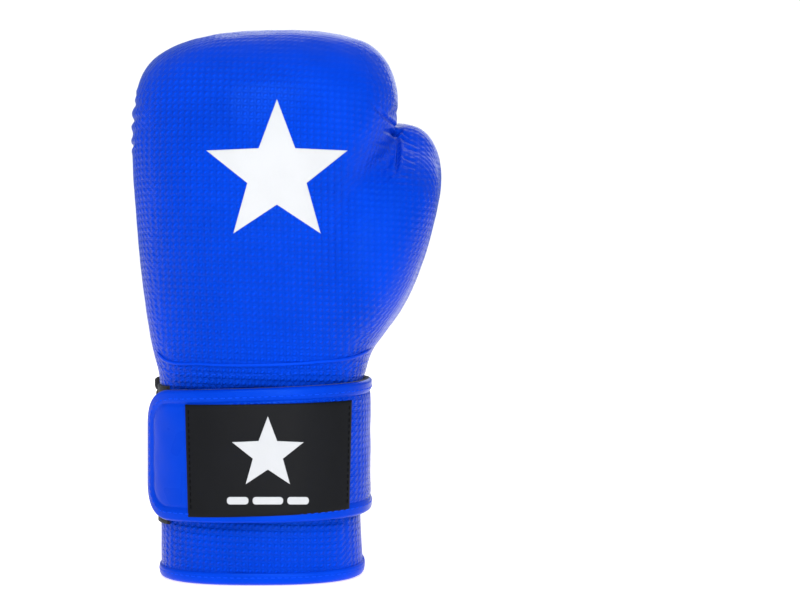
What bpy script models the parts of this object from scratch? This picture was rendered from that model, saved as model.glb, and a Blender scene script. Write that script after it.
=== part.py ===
"""Padded boxing glove for the left hand, with a wrap-around hook-and-loop wrist strap.

Frame: metres, +Z from the cuff opening to the knuckles, -Y towards the back of the hand,
+Y towards the palm, +X towards the thumb. The glove stands on the hem of its cuff at Z = 0.
Sizes below are in millimetres and mm_to_m() turns them into metres.
"""

import itertools
import math

import bmesh
import bpy
from mathutils import Matrix, Vector

# ---------------------------------------------------------------- driving sizes, in mm
GLOVE_HEIGHT = 300.0
CUFF_TOP = 104.0  # where the palm side of the cuff splits into two flaps
YOKE_TOP = 117.0  # seam between the cuff and the mitt on the back
ROLL_BOTTOM = 206.0  # lip of the padded roll in front of the fingers
SLIT_TOP = 163.0
SLIT_WIDTH = 1.6
SEAM_Y = -4.0  # plane in which the back and palm halves are sewn together
GAP = 0.3  # air between neighbouring solids
AXIS_X = -12.75  # glove axis, so that the whole outline is centred on X = 0
AXIS_Y = -0.55

SKIN = 1.8
LINING = 1.2
CUFF_WALL = 10.0
ROUNDNESS = 2.5  # superellipse exponent of every cross-section

# Outline of the mitt against height: (z, value) pairs, from the glove axis.
PINKY_EDGE = ((0, -56.5), (40, -56.5), (104, -56.5), (112, -58), (150, -65), (205, -69.5), (242, -71.5),
              (264, -69.5), (278, -64), (288, -51.5), (294, -36), (298.5, -13), (300, 11))
THUMB_EDGE_BACK = ((0, 55.5), (36, 54), (104, 54.2), (112, 57), (140, 57), (180, 57.5), (215, 63),
                   (240, 71.5), (260, 75), (278, 70.5), (288, 63), (294, 52), (298.5, 34), (300, 11))
THUMB_EDGE_PALM = ((0, 55.5), (36, 54), (104, 54.2), (112, 56), (128, 53), (150, 51), (180, 49.5),
                   (206, 49), (225, 56), (244, 65), (262, 69), (278, 65.5), (288, 58), (294, 48),
                   (298.5, 31), (300, 11))
BACK_EDGE = ((0, -39), (36, -39), (104, -39.2), (117, -42), (150, -50), (190, -59), (228, -62),
             (258, -58), (278, -47), (289, -35), (295.5, -22), (298.5, -13), (300, -4))
PALM_EDGE = ((0, 37), (36, 36.8), (104, 36.8), (117, 36.5), (206, 37))
ROLL_EDGE = ((206, 51), (218, 59.5), (236, 63), (256, 60), (274, 49), (286, 36), (294, 22), (298.5, 9),
             (300, -4))

# The hand pocket inside, against its own height.
POCKET_TOP = 256.0
POCKET_KNEE = 206.0  # above it the pocket is lower than the outline it belongs to
POCKET_HALF_WIDTH = ((0, 46.5), (104, 47), (130, 44.5), (200, 43), (226, 41), (243, 34), (251, 23),
                     (255, 9), (256, 0))
POCKET_BACK = ((0, -29), (104, -30), (150, -24), (200, -17), (230, -15), (247, -11), (254, -6), (256, -4))
POCKET_PALM = ((0, 27.5), (104, 27), (150, 26), (200, 25), (230, 23), (247, 13), (254, 2), (256, -4))

# The thumb against height.
THUMB_OUTER = ((128, 60), (131, 65.5), (140, 72.5), (160, 82.5), (180, 90), (200, 95.2), (217, 97), (233, 94),
               (244, 87.5), (250, 80.5), (253, 74))
THUMB_INNER = ((128, 60), (131, 56.5), (140, 53.5), (160, 51.7), (180, 50.7), (200, 50.2), (213, 52.5),
               (225, 57.5), (240, 65), (250, 69.5), (253, 74))
THUMB_Y = ((128, 13), (150, 16), (190, 22), (253, 25))
THUMB_HALF_DEPTH = ((128, 0), (131, 7), (140, 14), (160, 19.5), (190, 24.5), (220, 25), (240, 19),
                    (250, 10), (253, 0))
THUMB_POCKET_RADIUS = ((142, 0), (146, 5.5), (155, 9), (165, 10.5), (215, 10.5), (230, 7), (236, 0))
THUMB_PASSAGE = ((26, 6, 146), (66, 18, 168))
THUMB_PASSAGE_RADIUS = 9.0

# Grid lines that every layer of one wall shares, so that their facets stay parallel.
MITT_ROWS = (117, 134, 152, 170, 188, 206, 222, 238, 253, 267, 279, 288, 294, 298.5, 300)
PALM_ROWS = (104, 120, 136, 152, 170, 188, 206)
CUFF_ROWS = (0, 34, 69, 104)
THUMB_ROWS = (128, 131, 140, 155, 170, 185, 200, 214, 228, 240, 248, 253)
HALF_COLUMNS = 14
THUMB_COLUMNS = 8

# Strap
STRAP_BOTTOM = 34.0
STRAP_TOP = 106.0
STRAP_SLANT = 7.0  # how much lower the free end of the tab lies than its fold
STRAP_LEFT = -61.0  # inner face of the closed strap, from the glove axis
STRAP_RIGHT = 55.6
STRAP_BACK = -42.9
STRAP_PALM = 37.9
STRAP_THICKNESS = 3.4
BINDING_WIDTH = 8.0
BINDING_PROUD = 0.5
PATCH_THICKNESS = 1.2
TAB_END = 0.865  # share of the half ring at which the tab ends
TAB_CORNER = 24.0
STRAP_STATIONS = 22
SHARE_LENGTH = 150.0  # mm of the cuff's half ring per unit of share near the middle of the palm

HEM = 9.0
FLAP_CORNER = 20.0
VENT_RADIUS = 1.6
VENT_Z = 197.0
VENT_X = (-3.0, 17.5)

# Axes of the moving pieces, (x, y, z) from the glove axis.
THUMB_HINGE = (56.0, 14.0, 140.0)
STRAP_HINGE = (-59.6, 1.0, 70.0)
TAB_HINGE = (59.7, 0.0, 70.0)
PINKY_FLAP_HINGE = (-56.5, SEAM_Y, 52.0)
THUMB_FLAP_HINGE = (55.7, SEAM_Y, 52.0)

BLUE = (0.004, 0.060, 0.800, 1.0)
BLACK = (0.012, 0.012, 0.014, 1.0)
FOAM_GREY = (0.32, 0.33, 0.36, 1.0)
STEEL = (0.60, 0.61, 0.64, 1.0)


def mm_to_m(point):
    """A point from the glove axis in mm, in the part's frame in metres."""
    return Vector((point[0] + AXIS_X, point[1] + AXIS_Y, point[2])) * 0.001


def along(points, at):
    """Smooth value at a height, through (height, value) pairs, without overshoot."""
    if at <= points[0][0]:
        return points[0][1]
    if at >= points[-1][0]:
        return points[-1][1]
    i = next(k for k in range(len(points) - 1) if at <= points[k + 1][0])

    def slope(k):
        if k in (0, len(points) - 1):
            return 0.0 if k else (points[1][1] - points[0][1]) / (points[1][0] - points[0][0])
        before = (points[k][1] - points[k - 1][1]) / (points[k][0] - points[k - 1][0])
        after = (points[k + 1][1] - points[k][1]) / (points[k + 1][0] - points[k][0])
        return 0.0 if before * after <= 0 else 2 * before * after / (before + after)

    (z0, v0), (z1, v1) = points[i], points[i + 1]
    span = z1 - z0
    t = (at - z0) / span
    last = (v1 - v0) / span if i == len(points) - 2 else slope(i + 1)
    rise = v0 * (1 + 2 * t) * (1 - t) ** 2 + v1 * t * t * (3 - 2 * t)
    return rise + span * (slope(i) * t * (1 - t) ** 2 - last * t * t * (1 - t))


def half_ring(left, right, seam, far, share):
    """(x, y) on a half superellipse, from its left end (share 0) round by far to its right end (share 1)."""
    angle = math.pi * share
    cosine, sine = math.cos(angle), max(0.0, math.sin(angle))
    reach = math.copysign(abs(cosine) ** (2 / ROUNDNESS), cosine)
    x = (left + right) / 2 - (right - left) / 2 * reach
    return x, seam + (far - seam) * sine ** (2 / ROUNDNESS)


# ---------------------------------------------------------------- walls
# A wall function gives (outside point, inside point) at a share of its half ring and a height.
def pocket_height(z):
    if z <= POCKET_KNEE:
        return z
    return POCKET_KNEE + (z - POCKET_KNEE) * (POCKET_TOP - POCKET_KNEE) / (GLOVE_HEIGHT - POCKET_KNEE)


def pocket_point(share, z, edge, seam):
    height = pocket_height(z)
    half = along(POCKET_HALF_WIDTH, height)
    middle = 11.0 * max(0.0, (height - POCKET_KNEE) / (POCKET_TOP - POCKET_KNEE)) ** 2
    reach = along(edge, height)
    far = min(seam, reach) if edge is POCKET_BACK else max(seam, reach)
    x, y = half_ring(middle - half, middle + half, seam, seam if height >= POCKET_TOP else far, share)
    return Vector((x, y, height))


def back_wall(share, z):
    seam = SEAM_Y - GAP / 2
    far = min(seam, along(BACK_EDGE, z))
    x, y = half_ring(along(PINKY_EDGE, z), along(THUMB_EDGE_BACK, z), seam, far, share)
    return Vector((x, y, z)), pocket_point(share, z, POCKET_BACK, seam)


def palm_wall(share, z):
    seam = SEAM_Y + GAP / 2
    x, y = half_ring(along(PINKY_EDGE, z), along(THUMB_EDGE_PALM, z), seam, along(PALM_EDGE, z), share)
    return Vector((x, y, z)), pocket_point(share, z, POCKET_PALM, seam)


def roll_wall(share, z):
    seam = SEAM_Y + GAP / 2
    far = max(seam, along(ROLL_EDGE, z))
    x, y = half_ring(along(PINKY_EDGE, z), along(THUMB_EDGE_PALM, z), seam, far, share)
    return Vector((x, y, z)), pocket_point(share, z, POCKET_PALM, seam)


def thumb_wall(side):
    """The thumb's wall on one side: -1 faces the back of the hand, +1 the palm."""

    def wall(share, z):
        centre = along(THUMB_Y, z) + side * GAP / 2
        inner, outer = along(THUMB_INNER, z), along(THUMB_OUTER, z)
        x, y = half_ring(inner, outer, centre, centre + side * along(THUMB_HALF_DEPTH, z), share)
        bottom, top = THUMB_ROWS[0], THUMB_ROWS[-1]
        low, high = THUMB_POCKET_RADIUS[0][0], THUMB_POCKET_RADIUS[-1][0]
        height = low + (z - bottom) * (high - low) / (top - bottom)
        radius = along(THUMB_POCKET_RADIUS, height)
        middle = (along(THUMB_INNER, height) + along(THUMB_OUTER, height)) / 2
        px, py = half_ring(middle - radius, middle + radius, centre, centre + side * radius * 1.15, share)
        return Vector((x, y, z)), Vector((px, py, height))

    return wall


# A layer is two depths below the outside, each (mm, share of the wall's thickness).
SKIN_LAYER = ((0.0, 0.0), (SKIN, 0.0))
OUTER_FOAM = ((SKIN + GAP, 0.0), (0.0, 0.52))
INNER_FOAM = ((GAP, 0.52), (-LINING - GAP, 1.0))
WHOLE_FOAM = ((SKIN + GAP, 0.0), (-LINING - GAP, 1.0))
LINING_LAYER = ((-LINING, 1.0), (0.0, 1.0))


def layer_point(wall, share, z, depth):
    outside, inside = wall(share, z)
    thickness = (inside - outside).length
    return outside + (inside - outside) * ((depth[0] + depth[1] * thickness) / thickness)


# ---------------------------------------------------------------- making solids
def material(name, colour, roughness, metallic=0.0):
    found = bpy.data.materials.get(name)
    if found:
        return found
    made = bpy.data.materials.new(name)
    made.use_nodes = True
    shader = made.node_tree.nodes["Principled BSDF"]
    shader.inputs["Base Color"].default_value = colour
    shader.inputs["Roughness"].default_value = roughness
    shader.inputs["Metallic"].default_value = metallic
    return made


def leather():
    return material("blue_leather", BLUE, 0.42)


def foam():
    return material("grey_foam", FOAM_GREY, 0.9)


def black_fabric():
    return material("black_fabric", BLACK, 0.85)


def black_rubber():
    return material("black_rubber", BLACK, 0.5)


def steel():
    return material("steel", STEEL, 0.3, 1.0)


def solid(name, points, faces, finish):
    """A closed mesh object from points in mm from the glove axis, shaded smooth but for its edges."""
    mesh = bpy.data.meshes.new(name)
    mesh.from_pydata([mm_to_m(p) for p in points], [], faces)
    shape = bmesh.new()
    shape.from_mesh(mesh)
    bmesh.ops.remove_doubles(shape, verts=shape.verts, dist=1e-6)
    bmesh.ops.dissolve_degenerate(shape, edges=shape.edges, dist=1e-7)
    bmesh.ops.recalc_face_normals(shape, faces=shape.faces)
    shape.to_mesh(mesh)
    shape.free()
    mesh.materials.append(finish)
    mesh.shade_smooth()
    mesh.set_sharp_from_angle(angle=math.radians(40))
    made = bpy.data.objects.new(name, mesh)
    bpy.context.scene.collection.objects.link(made)
    return made


def slab(name, rows, finish):
    """A solid between two grids: rows[i][j] is (outside point, inside point)."""
    tall, wide = len(rows), len(rows[0])
    points = [pair[side] for side in (0, 1) for row in rows for pair in row]

    def at(side, i, j):
        return side * tall * wide + i * wide + j

    faces = []
    for i in range(tall - 1):
        for j in range(wide - 1):
            faces.append((at(0, i, j), at(0, i, j + 1), at(0, i + 1, j + 1), at(0, i + 1, j)))
            faces.append((at(1, i, j), at(1, i + 1, j), at(1, i + 1, j + 1), at(1, i, j + 1)))
    for i in range(tall - 1):
        for j in (0, wide - 1):
            faces.append((at(0, i, j), at(0, i + 1, j), at(1, i + 1, j), at(1, i, j)))
    for j in range(wide - 1):
        for i in (0, tall - 1):
            faces.append((at(0, i, j), at(0, i, j + 1), at(1, i, j + 1), at(1, i, j)))
    return solid(name, points, faces, finish)


def inset(values, amount):
    """The grid lines with both end lines moved inwards."""
    first = values[0] + amount
    last = values[-1] - amount
    return [first, *values[1:-1], last]


def wall_piece(name, wall, rows, columns, layer, finish, count=HALF_COLUMNS):
    """One layer of a wall, between two heights of `rows` and two column numbers."""
    heights = inset(list(rows), GAP / 2)
    if rows[0] in (0, THUMB_ROWS[0]):
        heights[0] = rows[0]
    if rows[-1] in (GLOVE_HEIGHT, THUMB_ROWS[-1]):
        heights[-1] = rows[-1]
    shares = [j / count for j in range(columns[0], columns[1] + 1)]
    edge = 0.0012
    shares[0] += edge if columns[0] else 0.0
    shares[-1] -= edge if columns[1] < count else 0.0
    grid = [
        [tuple(layer_point(wall, share, z, depth) for depth in layer) for share in shares]
        for z in heights
    ]
    return slab(name, grid, finish)


def cut(target, cutter):
    modifier = target.modifiers.new("cut_" + cutter.name, "BOOLEAN")
    modifier.operation = "DIFFERENCE"
    modifier.object = cutter


def helper(made):
    made.hide_render = True
    made.display_type = "WIRE"
    return made


def rod(name, start, end, radius, sides, finish, ball=0):
    """A round bar between two points; ball adds that many rings of rounding at each end."""
    axis = (end - start).normalized()
    across = axis.orthogonal().normalized()
    up = axis.cross(across)
    length = (end - start).length
    profile = [(0.0, radius)]
    if ball:
        turns = [math.pi / 2 * (1 - k / ball) for k in range(1, ball + 1)]
        profile = [(radius * (1 - math.sin(turn)), radius * math.cos(turn)) for turn in turns]
    profile = profile + [(length - d, r) for d, r in reversed(profile)]
    points, faces = [], []
    for distance, r in profile:
        for k in range(sides):
            turn = 2 * math.pi * k / sides
            points.append(start + axis * distance + (across * math.cos(turn) + up * math.sin(turn)) * r)
    for i in range(len(profile) - 1):
        for k in range(sides):
            a, b = i * sides + k, i * sides + (k + 1) % sides
            faces.append((a, b, b + sides, a + sides))
    faces.append(tuple(range(sides)))
    faces.append(tuple((len(profile) - 1) * sides + k for k in range(sides)))
    return solid(name, points, faces, finish)


def pivot(name, point, pieces, parent=None):
    """An empty on a joint's axis, with the pieces that turn about it."""
    axis = bpy.data.objects.new(name, None)
    axis.empty_display_size = 0.02
    bpy.context.scene.collection.objects.link(axis)
    place = mm_to_m(point)
    axis.parent = parent
    axis.location = place - parent.location if parent else place
    for piece in pieces:
        piece.data.transform(Matrix.Translation(-place))
        piece.parent = axis
    return axis


# ---------------------------------------------------------------- the mitt
def steps(rows, low, high):
    return [z for z in rows if low <= z <= high]


def make_mitt():
    third = HALF_COLUMNS // 7 * 2  # columns in each side pad
    far = HALF_COLUMNS - third
    whole = (0, HALF_COLUMNS)
    knuckles = steps(MITT_ROWS, 188, 300)
    hand = steps(MITT_ROWS, 117, 188)
    roll = steps(MITT_ROWS, ROLL_BOTTOM, 300)
    wall_piece("back_panel", back_wall, MITT_ROWS, whole, SKIN_LAYER, leather())
    wall_piece("knuckle_foam_outer", back_wall, knuckles, whole, OUTER_FOAM, foam())
    wall_piece("knuckle_foam_inner", back_wall, knuckles, whole, INNER_FOAM, foam())
    wall_piece("back_hand_foam", back_wall, hand, (third, far), WHOLE_FOAM, foam())
    wall_piece("pinky_side_foam", back_wall, hand, (0, third), WHOLE_FOAM, foam())
    wall_piece("thumb_side_foam", back_wall, hand, (far, HALF_COLUMNS), WHOLE_FOAM, foam())
    wall_piece("hand_lining_back", back_wall, MITT_ROWS, whole, LINING_LAYER, black_fabric())
    wall_piece("fist_roll_panel", roll_wall, roll, whole, SKIN_LAYER, leather())
    wall_piece("fist_roll_foam", roll_wall, roll, whole, WHOLE_FOAM, foam())
    wall_piece("finger_lining", roll_wall, roll, whole, LINING_LAYER, black_fabric())


def make_palm():
    """Palm wall with its slit, the patch that stops the slit, and two vents."""
    slit = helper(box("slit_cutter", (-SLIT_WIDTH / 2, 0, CUFF_TOP - 5), (SLIT_WIDTH / 2, 60, SLIT_TOP)))
    slit_inner = helper(box("slit_inner_cutter", (-3, 0, CUFF_TOP - 5), (3, 60, SLIT_TOP + 2)))
    whole = (0, HALF_COLUMNS)
    panel = wall_piece("palm_panel", palm_wall, PALM_ROWS, whole, SKIN_LAYER, leather())
    cut(panel, slit)
    pad = wall_piece("palm_foam", palm_wall, PALM_ROWS, whole, WHOLE_FOAM, foam())
    cut(pad, slit_inner)
    lining = wall_piece("hand_lining_palm", palm_wall, PALM_ROWS, whole, LINING_LAYER, black_fabric())
    for i, x in enumerate(VENT_X):
        y = palm_outside_y(x, VENT_Z)
        inside, outside = Vector((x, y - 30, VENT_Z)), Vector((x, y + 10, VENT_Z))
        hole = helper(rod(f"vent_cutter_{i + 1}", inside, outside, VENT_RADIUS + GAP, 10, steel()))
        for piece in (panel, pad, lining):
            cut(piece, hole)
        eyelet(f"vent_eyelet_{i + 1}", x, y)
    make_slit_patch()
    return [panel, pad, lining]


def palm_outside_y(x, z):
    """The palm wall's outside y at x, found along the half ring."""
    low, high = 0.0, 1.0
    for _ in range(30):
        middle = (low + high) / 2
        low, high = (middle, high) if palm_wall(middle, z)[0].x < x else (low, middle)
    return palm_wall(low, z)[0].y


def eyelet(name, x, y):
    """A tubular eyelet through the palm skin, with a flange that stands on the leather."""
    sides = 10
    bore, barrel, flange = VENT_RADIUS - 0.5, VENT_RADIUS, VENT_RADIUS + 1.3
    outline = ((bore, -6.0), (barrel, -6.0), (barrel, 0.5), (flange, 0.5), (flange, 1.1), (bore, 1.1))
    points = []
    for r, d in outline:
        for k in range(sides):
            turn = 2 * math.pi * k / sides
            points.append(Vector((x + r * math.cos(turn), y + d, VENT_Z + r * math.sin(turn))))
    faces = []
    for i in range(len(outline)):
        for k in range(sides):
            after, turn = (i + 1) % len(outline), (k + 1) % sides
            faces.append((i * sides + k, i * sides + turn, after * sides + turn, after * sides + k))
    return solid(name, points, faces, steel())


def box(name, low, high):
    corners = itertools.product(*zip(low, high))
    points = [Vector(corner) for corner in corners]
    faces = ((0, 1, 3, 2), (4, 6, 7, 5), (0, 4, 5, 1), (2, 3, 7, 6), (0, 2, 6, 4), (1, 5, 7, 3))
    return solid(name, points, faces, leather())


def make_slit_patch():
    """Horseshoe patch that is sewn over the top of the slit."""
    half_width, bottom, thickness = 20.0, 112.0, 1.0
    spring = SLIT_TOP - 8
    band = 9.0
    outline = [(-1.0, bottom + k * (spring - bottom) / 4) for k in range(4)]
    for k in range(9):
        turn = math.pi * k / 8
        outline.append((-math.cos(turn), spring + half_width * 0.85 * math.sin(turn)))
    outline += [(1.0, spring - k * (spring - bottom) / 4) for k in range(1, 5)]
    grid = []
    for reach, z in outline:
        pairs = []
        inner_z = z - band * 0.5 * max(0.0, z - spring) / 17
        for width, height in ((half_width, z), (half_width - band, inner_z)):
            x = reach * width
            y = palm_outside_y(x, height)
            pairs.append((Vector((x, y + GAP + thickness + 0.2, height)), Vector((x, y + GAP + 0.2, height))))
        grid.append(pairs)
    slab("slit_stop_patch", grid, leather())


def make_grip_bar():
    rod("grip_bar", Vector((-27, 14.2, 216)), Vector((24, 14.2, 216)), 7.0, 12, foam(), ball=3)


# ---------------------------------------------------------------- the thumb
def make_thumb():
    ring = (0, THUMB_COLUMNS)
    made = []
    for name, wall in (("back", thumb_wall(-1)), ("palm", thumb_wall(1))):
        for title, layer, finish in (
            ("panel", SKIN_LAYER, leather()),
            ("foam", WHOLE_FOAM, foam()),
            ("lining", LINING_LAYER, black_fabric()),
        ):
            piece = wall_piece(f"thumb_{name}_{title}", wall, THUMB_ROWS, ring, layer, finish, THUMB_COLUMNS)
            made.append(piece)
    return made


def make_thumb_passage(pieces):
    """Round way from the hand pocket into the thumb pocket, cut through every layer, with a sleeve in it."""
    start, end = (Vector(p) for p in THUMB_PASSAGE)
    wall = 0.9
    cutter = helper(rod("thumb_passage_cutter", start, end, THUMB_PASSAGE_RADIUS + wall + GAP, 16, foam()))
    for piece in pieces:
        cut(piece, cutter)
    direction = (end - start).normalized()
    first, last = start + direction * 12.0, start + direction * 27.0
    across = direction.cross(Vector((0, 1, 0))).normalized()
    up = direction.cross(across)
    grid = []
    for k in range(17):
        turn = 2 * math.pi * k / 16
        spoke = across * math.cos(turn) + up * math.sin(turn)
        outer, inner = spoke * (THUMB_PASSAGE_RADIUS + wall), spoke * THUMB_PASSAGE_RADIUS
        grid.append([(first + outer, first + inner), (last + outer, last + inner)])
    tube("thumb_passage_sleeve", grid, black_fabric())


def tube(name, rows, finish):
    """A ring-shaped solid from rows of (outside point, inside point) whose last row meets the first."""
    rows = rows[:-1]
    count, wide = len(rows), len(rows[0])
    points = [pair[side] for side in (0, 1) for row in rows for pair in row]

    def at(side, i, j):
        return side * count * wide + (i % count) * wide + j

    faces = []
    for i in range(count):
        for j in range(wide - 1):
            faces.append((at(0, i, j), at(0, i, j + 1), at(0, i + 1, j + 1), at(0, i + 1, j)))
            faces.append((at(1, i, j), at(1, i + 1, j), at(1, i + 1, j + 1), at(1, i, j + 1)))
        for j in (0, wide - 1):
            faces.append((at(0, i, j), at(0, i + 1, j), at(1, i + 1, j), at(1, i, j)))
    return solid(name, points, faces, finish)


# ---------------------------------------------------------------- the cuff
def make_cuff():
    whole = (0, HALF_COLUMNS)
    wall_piece("wrist_yoke", back_wall, (CUFF_TOP, YOKE_TOP), whole, SKIN_LAYER, leather())
    wall_piece("wrist_yoke_foam", back_wall, (CUFF_TOP, YOKE_TOP), whole, WHOLE_FOAM, foam())
    rows = (HEM, *CUFF_ROWS[1:])
    wall_piece("cuff_back_panel", back_wall, rows, whole, SKIN_LAYER, leather())
    wall_piece("cuff_back_foam", back_wall, rows, whole, WHOLE_FOAM, foam())
    wall_piece("cuff_back_lining", back_wall, (*rows, YOKE_TOP), whole, LINING_LAYER, black_fabric())
    wall_piece("hem_binding_back", back_wall, (0, HEM), whole, ((-0.4, 0.0), (0.4, 1.0)), leather())


def flap_name(side):
    """Name of one palm-side flap."""
    return "pinky" if side < 0 else "thumb"


def make_flap(side):
    """One of the two flaps on the palm side of the cuff, with its bound edge."""
    name = flap_name(side)
    half = HALF_COLUMNS // 2
    corner = flap_outline(side)

    def piece(title, layer, finish, margin):
        grid = []
        for k in range(half + 1):
            distance = max(0.5 - k / HALF_COLUMNS, flap_edge_share(margin))
            share = 0.5 + side * distance
            bottom = corner(share, margin)
            heights = [bottom + (CUFF_TOP - GAP / 2 - bottom) * t for t in (0, 1 / 3, 2 / 3, 1)]
            grid.append([tuple(layer_point(palm_wall, share, z, d) for d in layer) for z in heights])
        return slab(title, grid, finish)

    return [
        piece(f"cuff_flap_{name}_panel", SKIN_LAYER, leather(), BINDING_WIDTH),
        piece(f"cuff_flap_{name}_foam", WHOLE_FOAM, foam(), BINDING_WIDTH),
        piece(f"cuff_flap_{name}_lining", LINING_LAYER, black_fabric(), BINDING_WIDTH),
        make_flap_binding(side, name),
    ]


def flap_edge_share(margin):
    """How far from the middle of the half ring a flap's inner part ends, as a share."""
    return (SLIT_WIDTH / 2 + margin + 2 * GAP) / SHARE_LENGTH


def flap_outline(side):
    """The lower edge of a flap against share, with a rounded corner at the slit."""

    def height(share, margin):
        distance = abs(0.5 - share) * SHARE_LENGTH - SLIT_WIDTH / 2 - margin
        radius = FLAP_CORNER - margin * 0.9
        lift = 0.0
        if distance < radius:
            lift = radius - math.sqrt(max(0.0, radius**2 - (radius - max(0.0, distance)) ** 2))
        return margin + 2 * GAP + lift

    return height


def make_flap_binding(side, name):
    """Leather tape folded over the flap's hem, corner and slit edge."""
    path = []
    columns = HALF_COLUMNS // 2
    corner_share = (SLIT_WIDTH / 2 + FLAP_CORNER) / SHARE_LENGTH
    for k in range(columns + 1):
        share = k / HALF_COLUMNS
        if share < 0.5 - corner_share - 0.01:
            path.append((0.5 - share, 0.0, 0.0, 1.0))
    for k in range(7):
        turn = math.pi / 2 * k / 6
        distance = corner_share - math.sin(turn) * FLAP_CORNER / SHARE_LENGTH
        path.append((distance, FLAP_CORNER * (1 - math.cos(turn)), math.sin(turn), math.cos(turn)))
    for z in (34, 69, CUFF_TOP - GAP / 2):
        path.append((SLIT_WIDTH / 2 / SHARE_LENGTH, float(z), 1.0, 0.0))
    grid = []
    for distance, z, outward, upward in path:
        pairs = []
        for t in (0.0, BINDING_WIDTH):
            share = 0.5 + side * (distance + outward * t / SHARE_LENGTH)
            height = z + upward * t
            pairs.append(tuple(layer_point(palm_wall, share, height, d) for d in ((-0.4, 0.0), (0.4, 1.0))))
        grid.append(pairs)
    return slab(f"flap_binding_{name}", grid, leather())


def make_gusset():
    """Elastic panel behind the slit that lets the cuff widen."""
    half = 13.0
    grid = []
    for z in (12, 55, CUFF_TOP - 4):
        row = []
        for x in (-half, 0.0, half):
            y = along(POCKET_PALM, z) - 1.2 - 0.012 * x * x * 0.5
            row.append((Vector((x, y, z)), Vector((x, y - 1.2, z))))
        grid.append(row)
    slab("slit_gusset", grid, black_fabric())


# ---------------------------------------------------------------- the strap
def strap_path(side, share, offset):
    """Point (x, y) of the strap; side -1 runs over the back and +1 over the palm, from the thumb side."""
    left = STRAP_LEFT if side < 0 else STRAP_LEFT + 3.2
    right = STRAP_RIGHT
    far = STRAP_BACK if side < 0 else STRAP_PALM

    def at(value):
        x, y = half_ring(left, right, 0.0, far, 1.0 - value)
        return Vector((x, y, 0.0))

    delta = 0.004
    low, high = max(0.0, share - delta), min(1.0, share + delta)
    tangent = (at(high) - at(low)).normalized()
    normal = Vector((tangent.y, -tangent.x, 0.0)) * side
    return at(share) + normal * offset


def strap_point(side, share, z, offset):
    point = strap_path(side, share, offset)
    slant = STRAP_SLANT * share if side < 0 else 0.0
    return Vector((point.x, point.y, z - slant))


def strap_shares(start, end, count=STRAP_STATIONS):
    return [start + (end - start) * k / count for k in range(count + 1)]


def strap_band(name, side, start, end, low, high, inner, outer, finish, count=STRAP_STATIONS):
    """A band of the strap between two shares, two heights and two offsets from the cuff."""
    grid = [
        [(strap_point(side, s, z, outer), strap_point(side, s, z, inner)) for z in (low, high)]
        for s in strap_shares(start, end, count)
    ]
    return slab(name, grid, finish)


def make_strap_base():
    """The part of the strap that is sewn on at the pinky side and crosses the palm side."""
    span = (0.0006, 0.985)
    middle = STRAP_THICKNESS * 0.4
    low, high = STRAP_BOTTOM + BINDING_WIDTH, STRAP_TOP - BINDING_WIDTH
    outer = STRAP_THICKNESS + BINDING_PROUD
    return [
        strap_band("strap_base_cover", 1, *span, low, high, middle + GAP, STRAP_THICKNESS, leather()),
        strap_band("strap_base_lining", 1, *span, low, high, 0.0, middle, black_fabric()),
        strap_band("strap_base_binding_top", 1, *span, high + GAP, STRAP_TOP, 0.0, outer, leather()),
        strap_band("strap_base_binding_bottom", 1, *span, STRAP_BOTTOM, low - GAP, 0.0, outer, leather()),
    ]


def tab_rim(distance_from_edge):
    """(share, z) points round the tab: along its top, round the free end and back along the bottom."""
    length_per_share = 165.0
    radius = TAB_CORNER - distance_from_edge
    end = TAB_END - distance_from_edge / length_per_share
    top, bottom = STRAP_TOP - distance_from_edge, STRAP_BOTTOM + distance_from_edge
    straight_end = end - radius / length_per_share
    line = strap_shares(0.0006, straight_end, 14)
    corner = []
    for k in range(1, 7):
        turn = math.pi / 2 * k / 6
        share = straight_end + math.sin(turn) * radius / length_per_share
        corner.append((share, radius * (1 - math.cos(turn))))
    upper = [(s, top) for s in line] + [(s, top - drop) for s, drop in corner]
    lower = [(s, bottom) for s in line] + [(s, bottom + rise) for s, rise in corner]
    return upper + lower[::-1]


def make_strap_tab():
    """The part of the strap that folds over the thumb side and closes on the back of the cuff."""
    middle = STRAP_THICKNESS * 0.4
    outer = STRAP_THICKNESS + BINDING_PROUD
    rim_out, rim_in = tab_rim(0.0), tab_rim(BINDING_WIDTH)
    grid = [
        [(strap_point(-1, s, z, outer), strap_point(-1, s, z, 0.0)) for s, z in (rim_out[k], rim_in[k])]
        for k in range(len(rim_out))
    ]
    pieces = [slab("strap_tab_binding", grid, leather())]
    rim = tab_rim(BINDING_WIDTH + GAP)
    half = len(rim) // 2
    pairs = list(zip(rim[:half], reversed(rim[half:])))
    for name, inner, outside, finish in (
        ("strap_tab_cover", middle + GAP, STRAP_THICKNESS, leather()),
        ("strap_tab_lining", 0.0, middle, black_fabric()),
    ):
        grid = [
            [(strap_point(-1, s, z, outside), strap_point(-1, s, z, inner)) for s, z in (low, high)]
            for high, low in pairs
        ]
        pieces.append(slab(name, grid, finish))
    label_low, label_high = STRAP_BOTTOM + BINDING_WIDTH - 1, STRAP_TOP - BINDING_WIDTH + 1
    proud = outer + GAP
    span = (0.215, 0.72, label_low, label_high)
    label = strap_band("strap_label", -1, *span, proud, proud + 1.0, black_rubber(), 12)
    span = (0.36, 0.80, STRAP_BOTTOM + 12, STRAP_TOP - 12)
    inner, outside = -PATCH_THICKNESS - GAP * 0.5, -GAP * 0.5
    hook = strap_band("strap_hook_patch", -1, *span, inner, outside, black_fabric(), 12)
    return [*pieces, label, hook]


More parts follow.
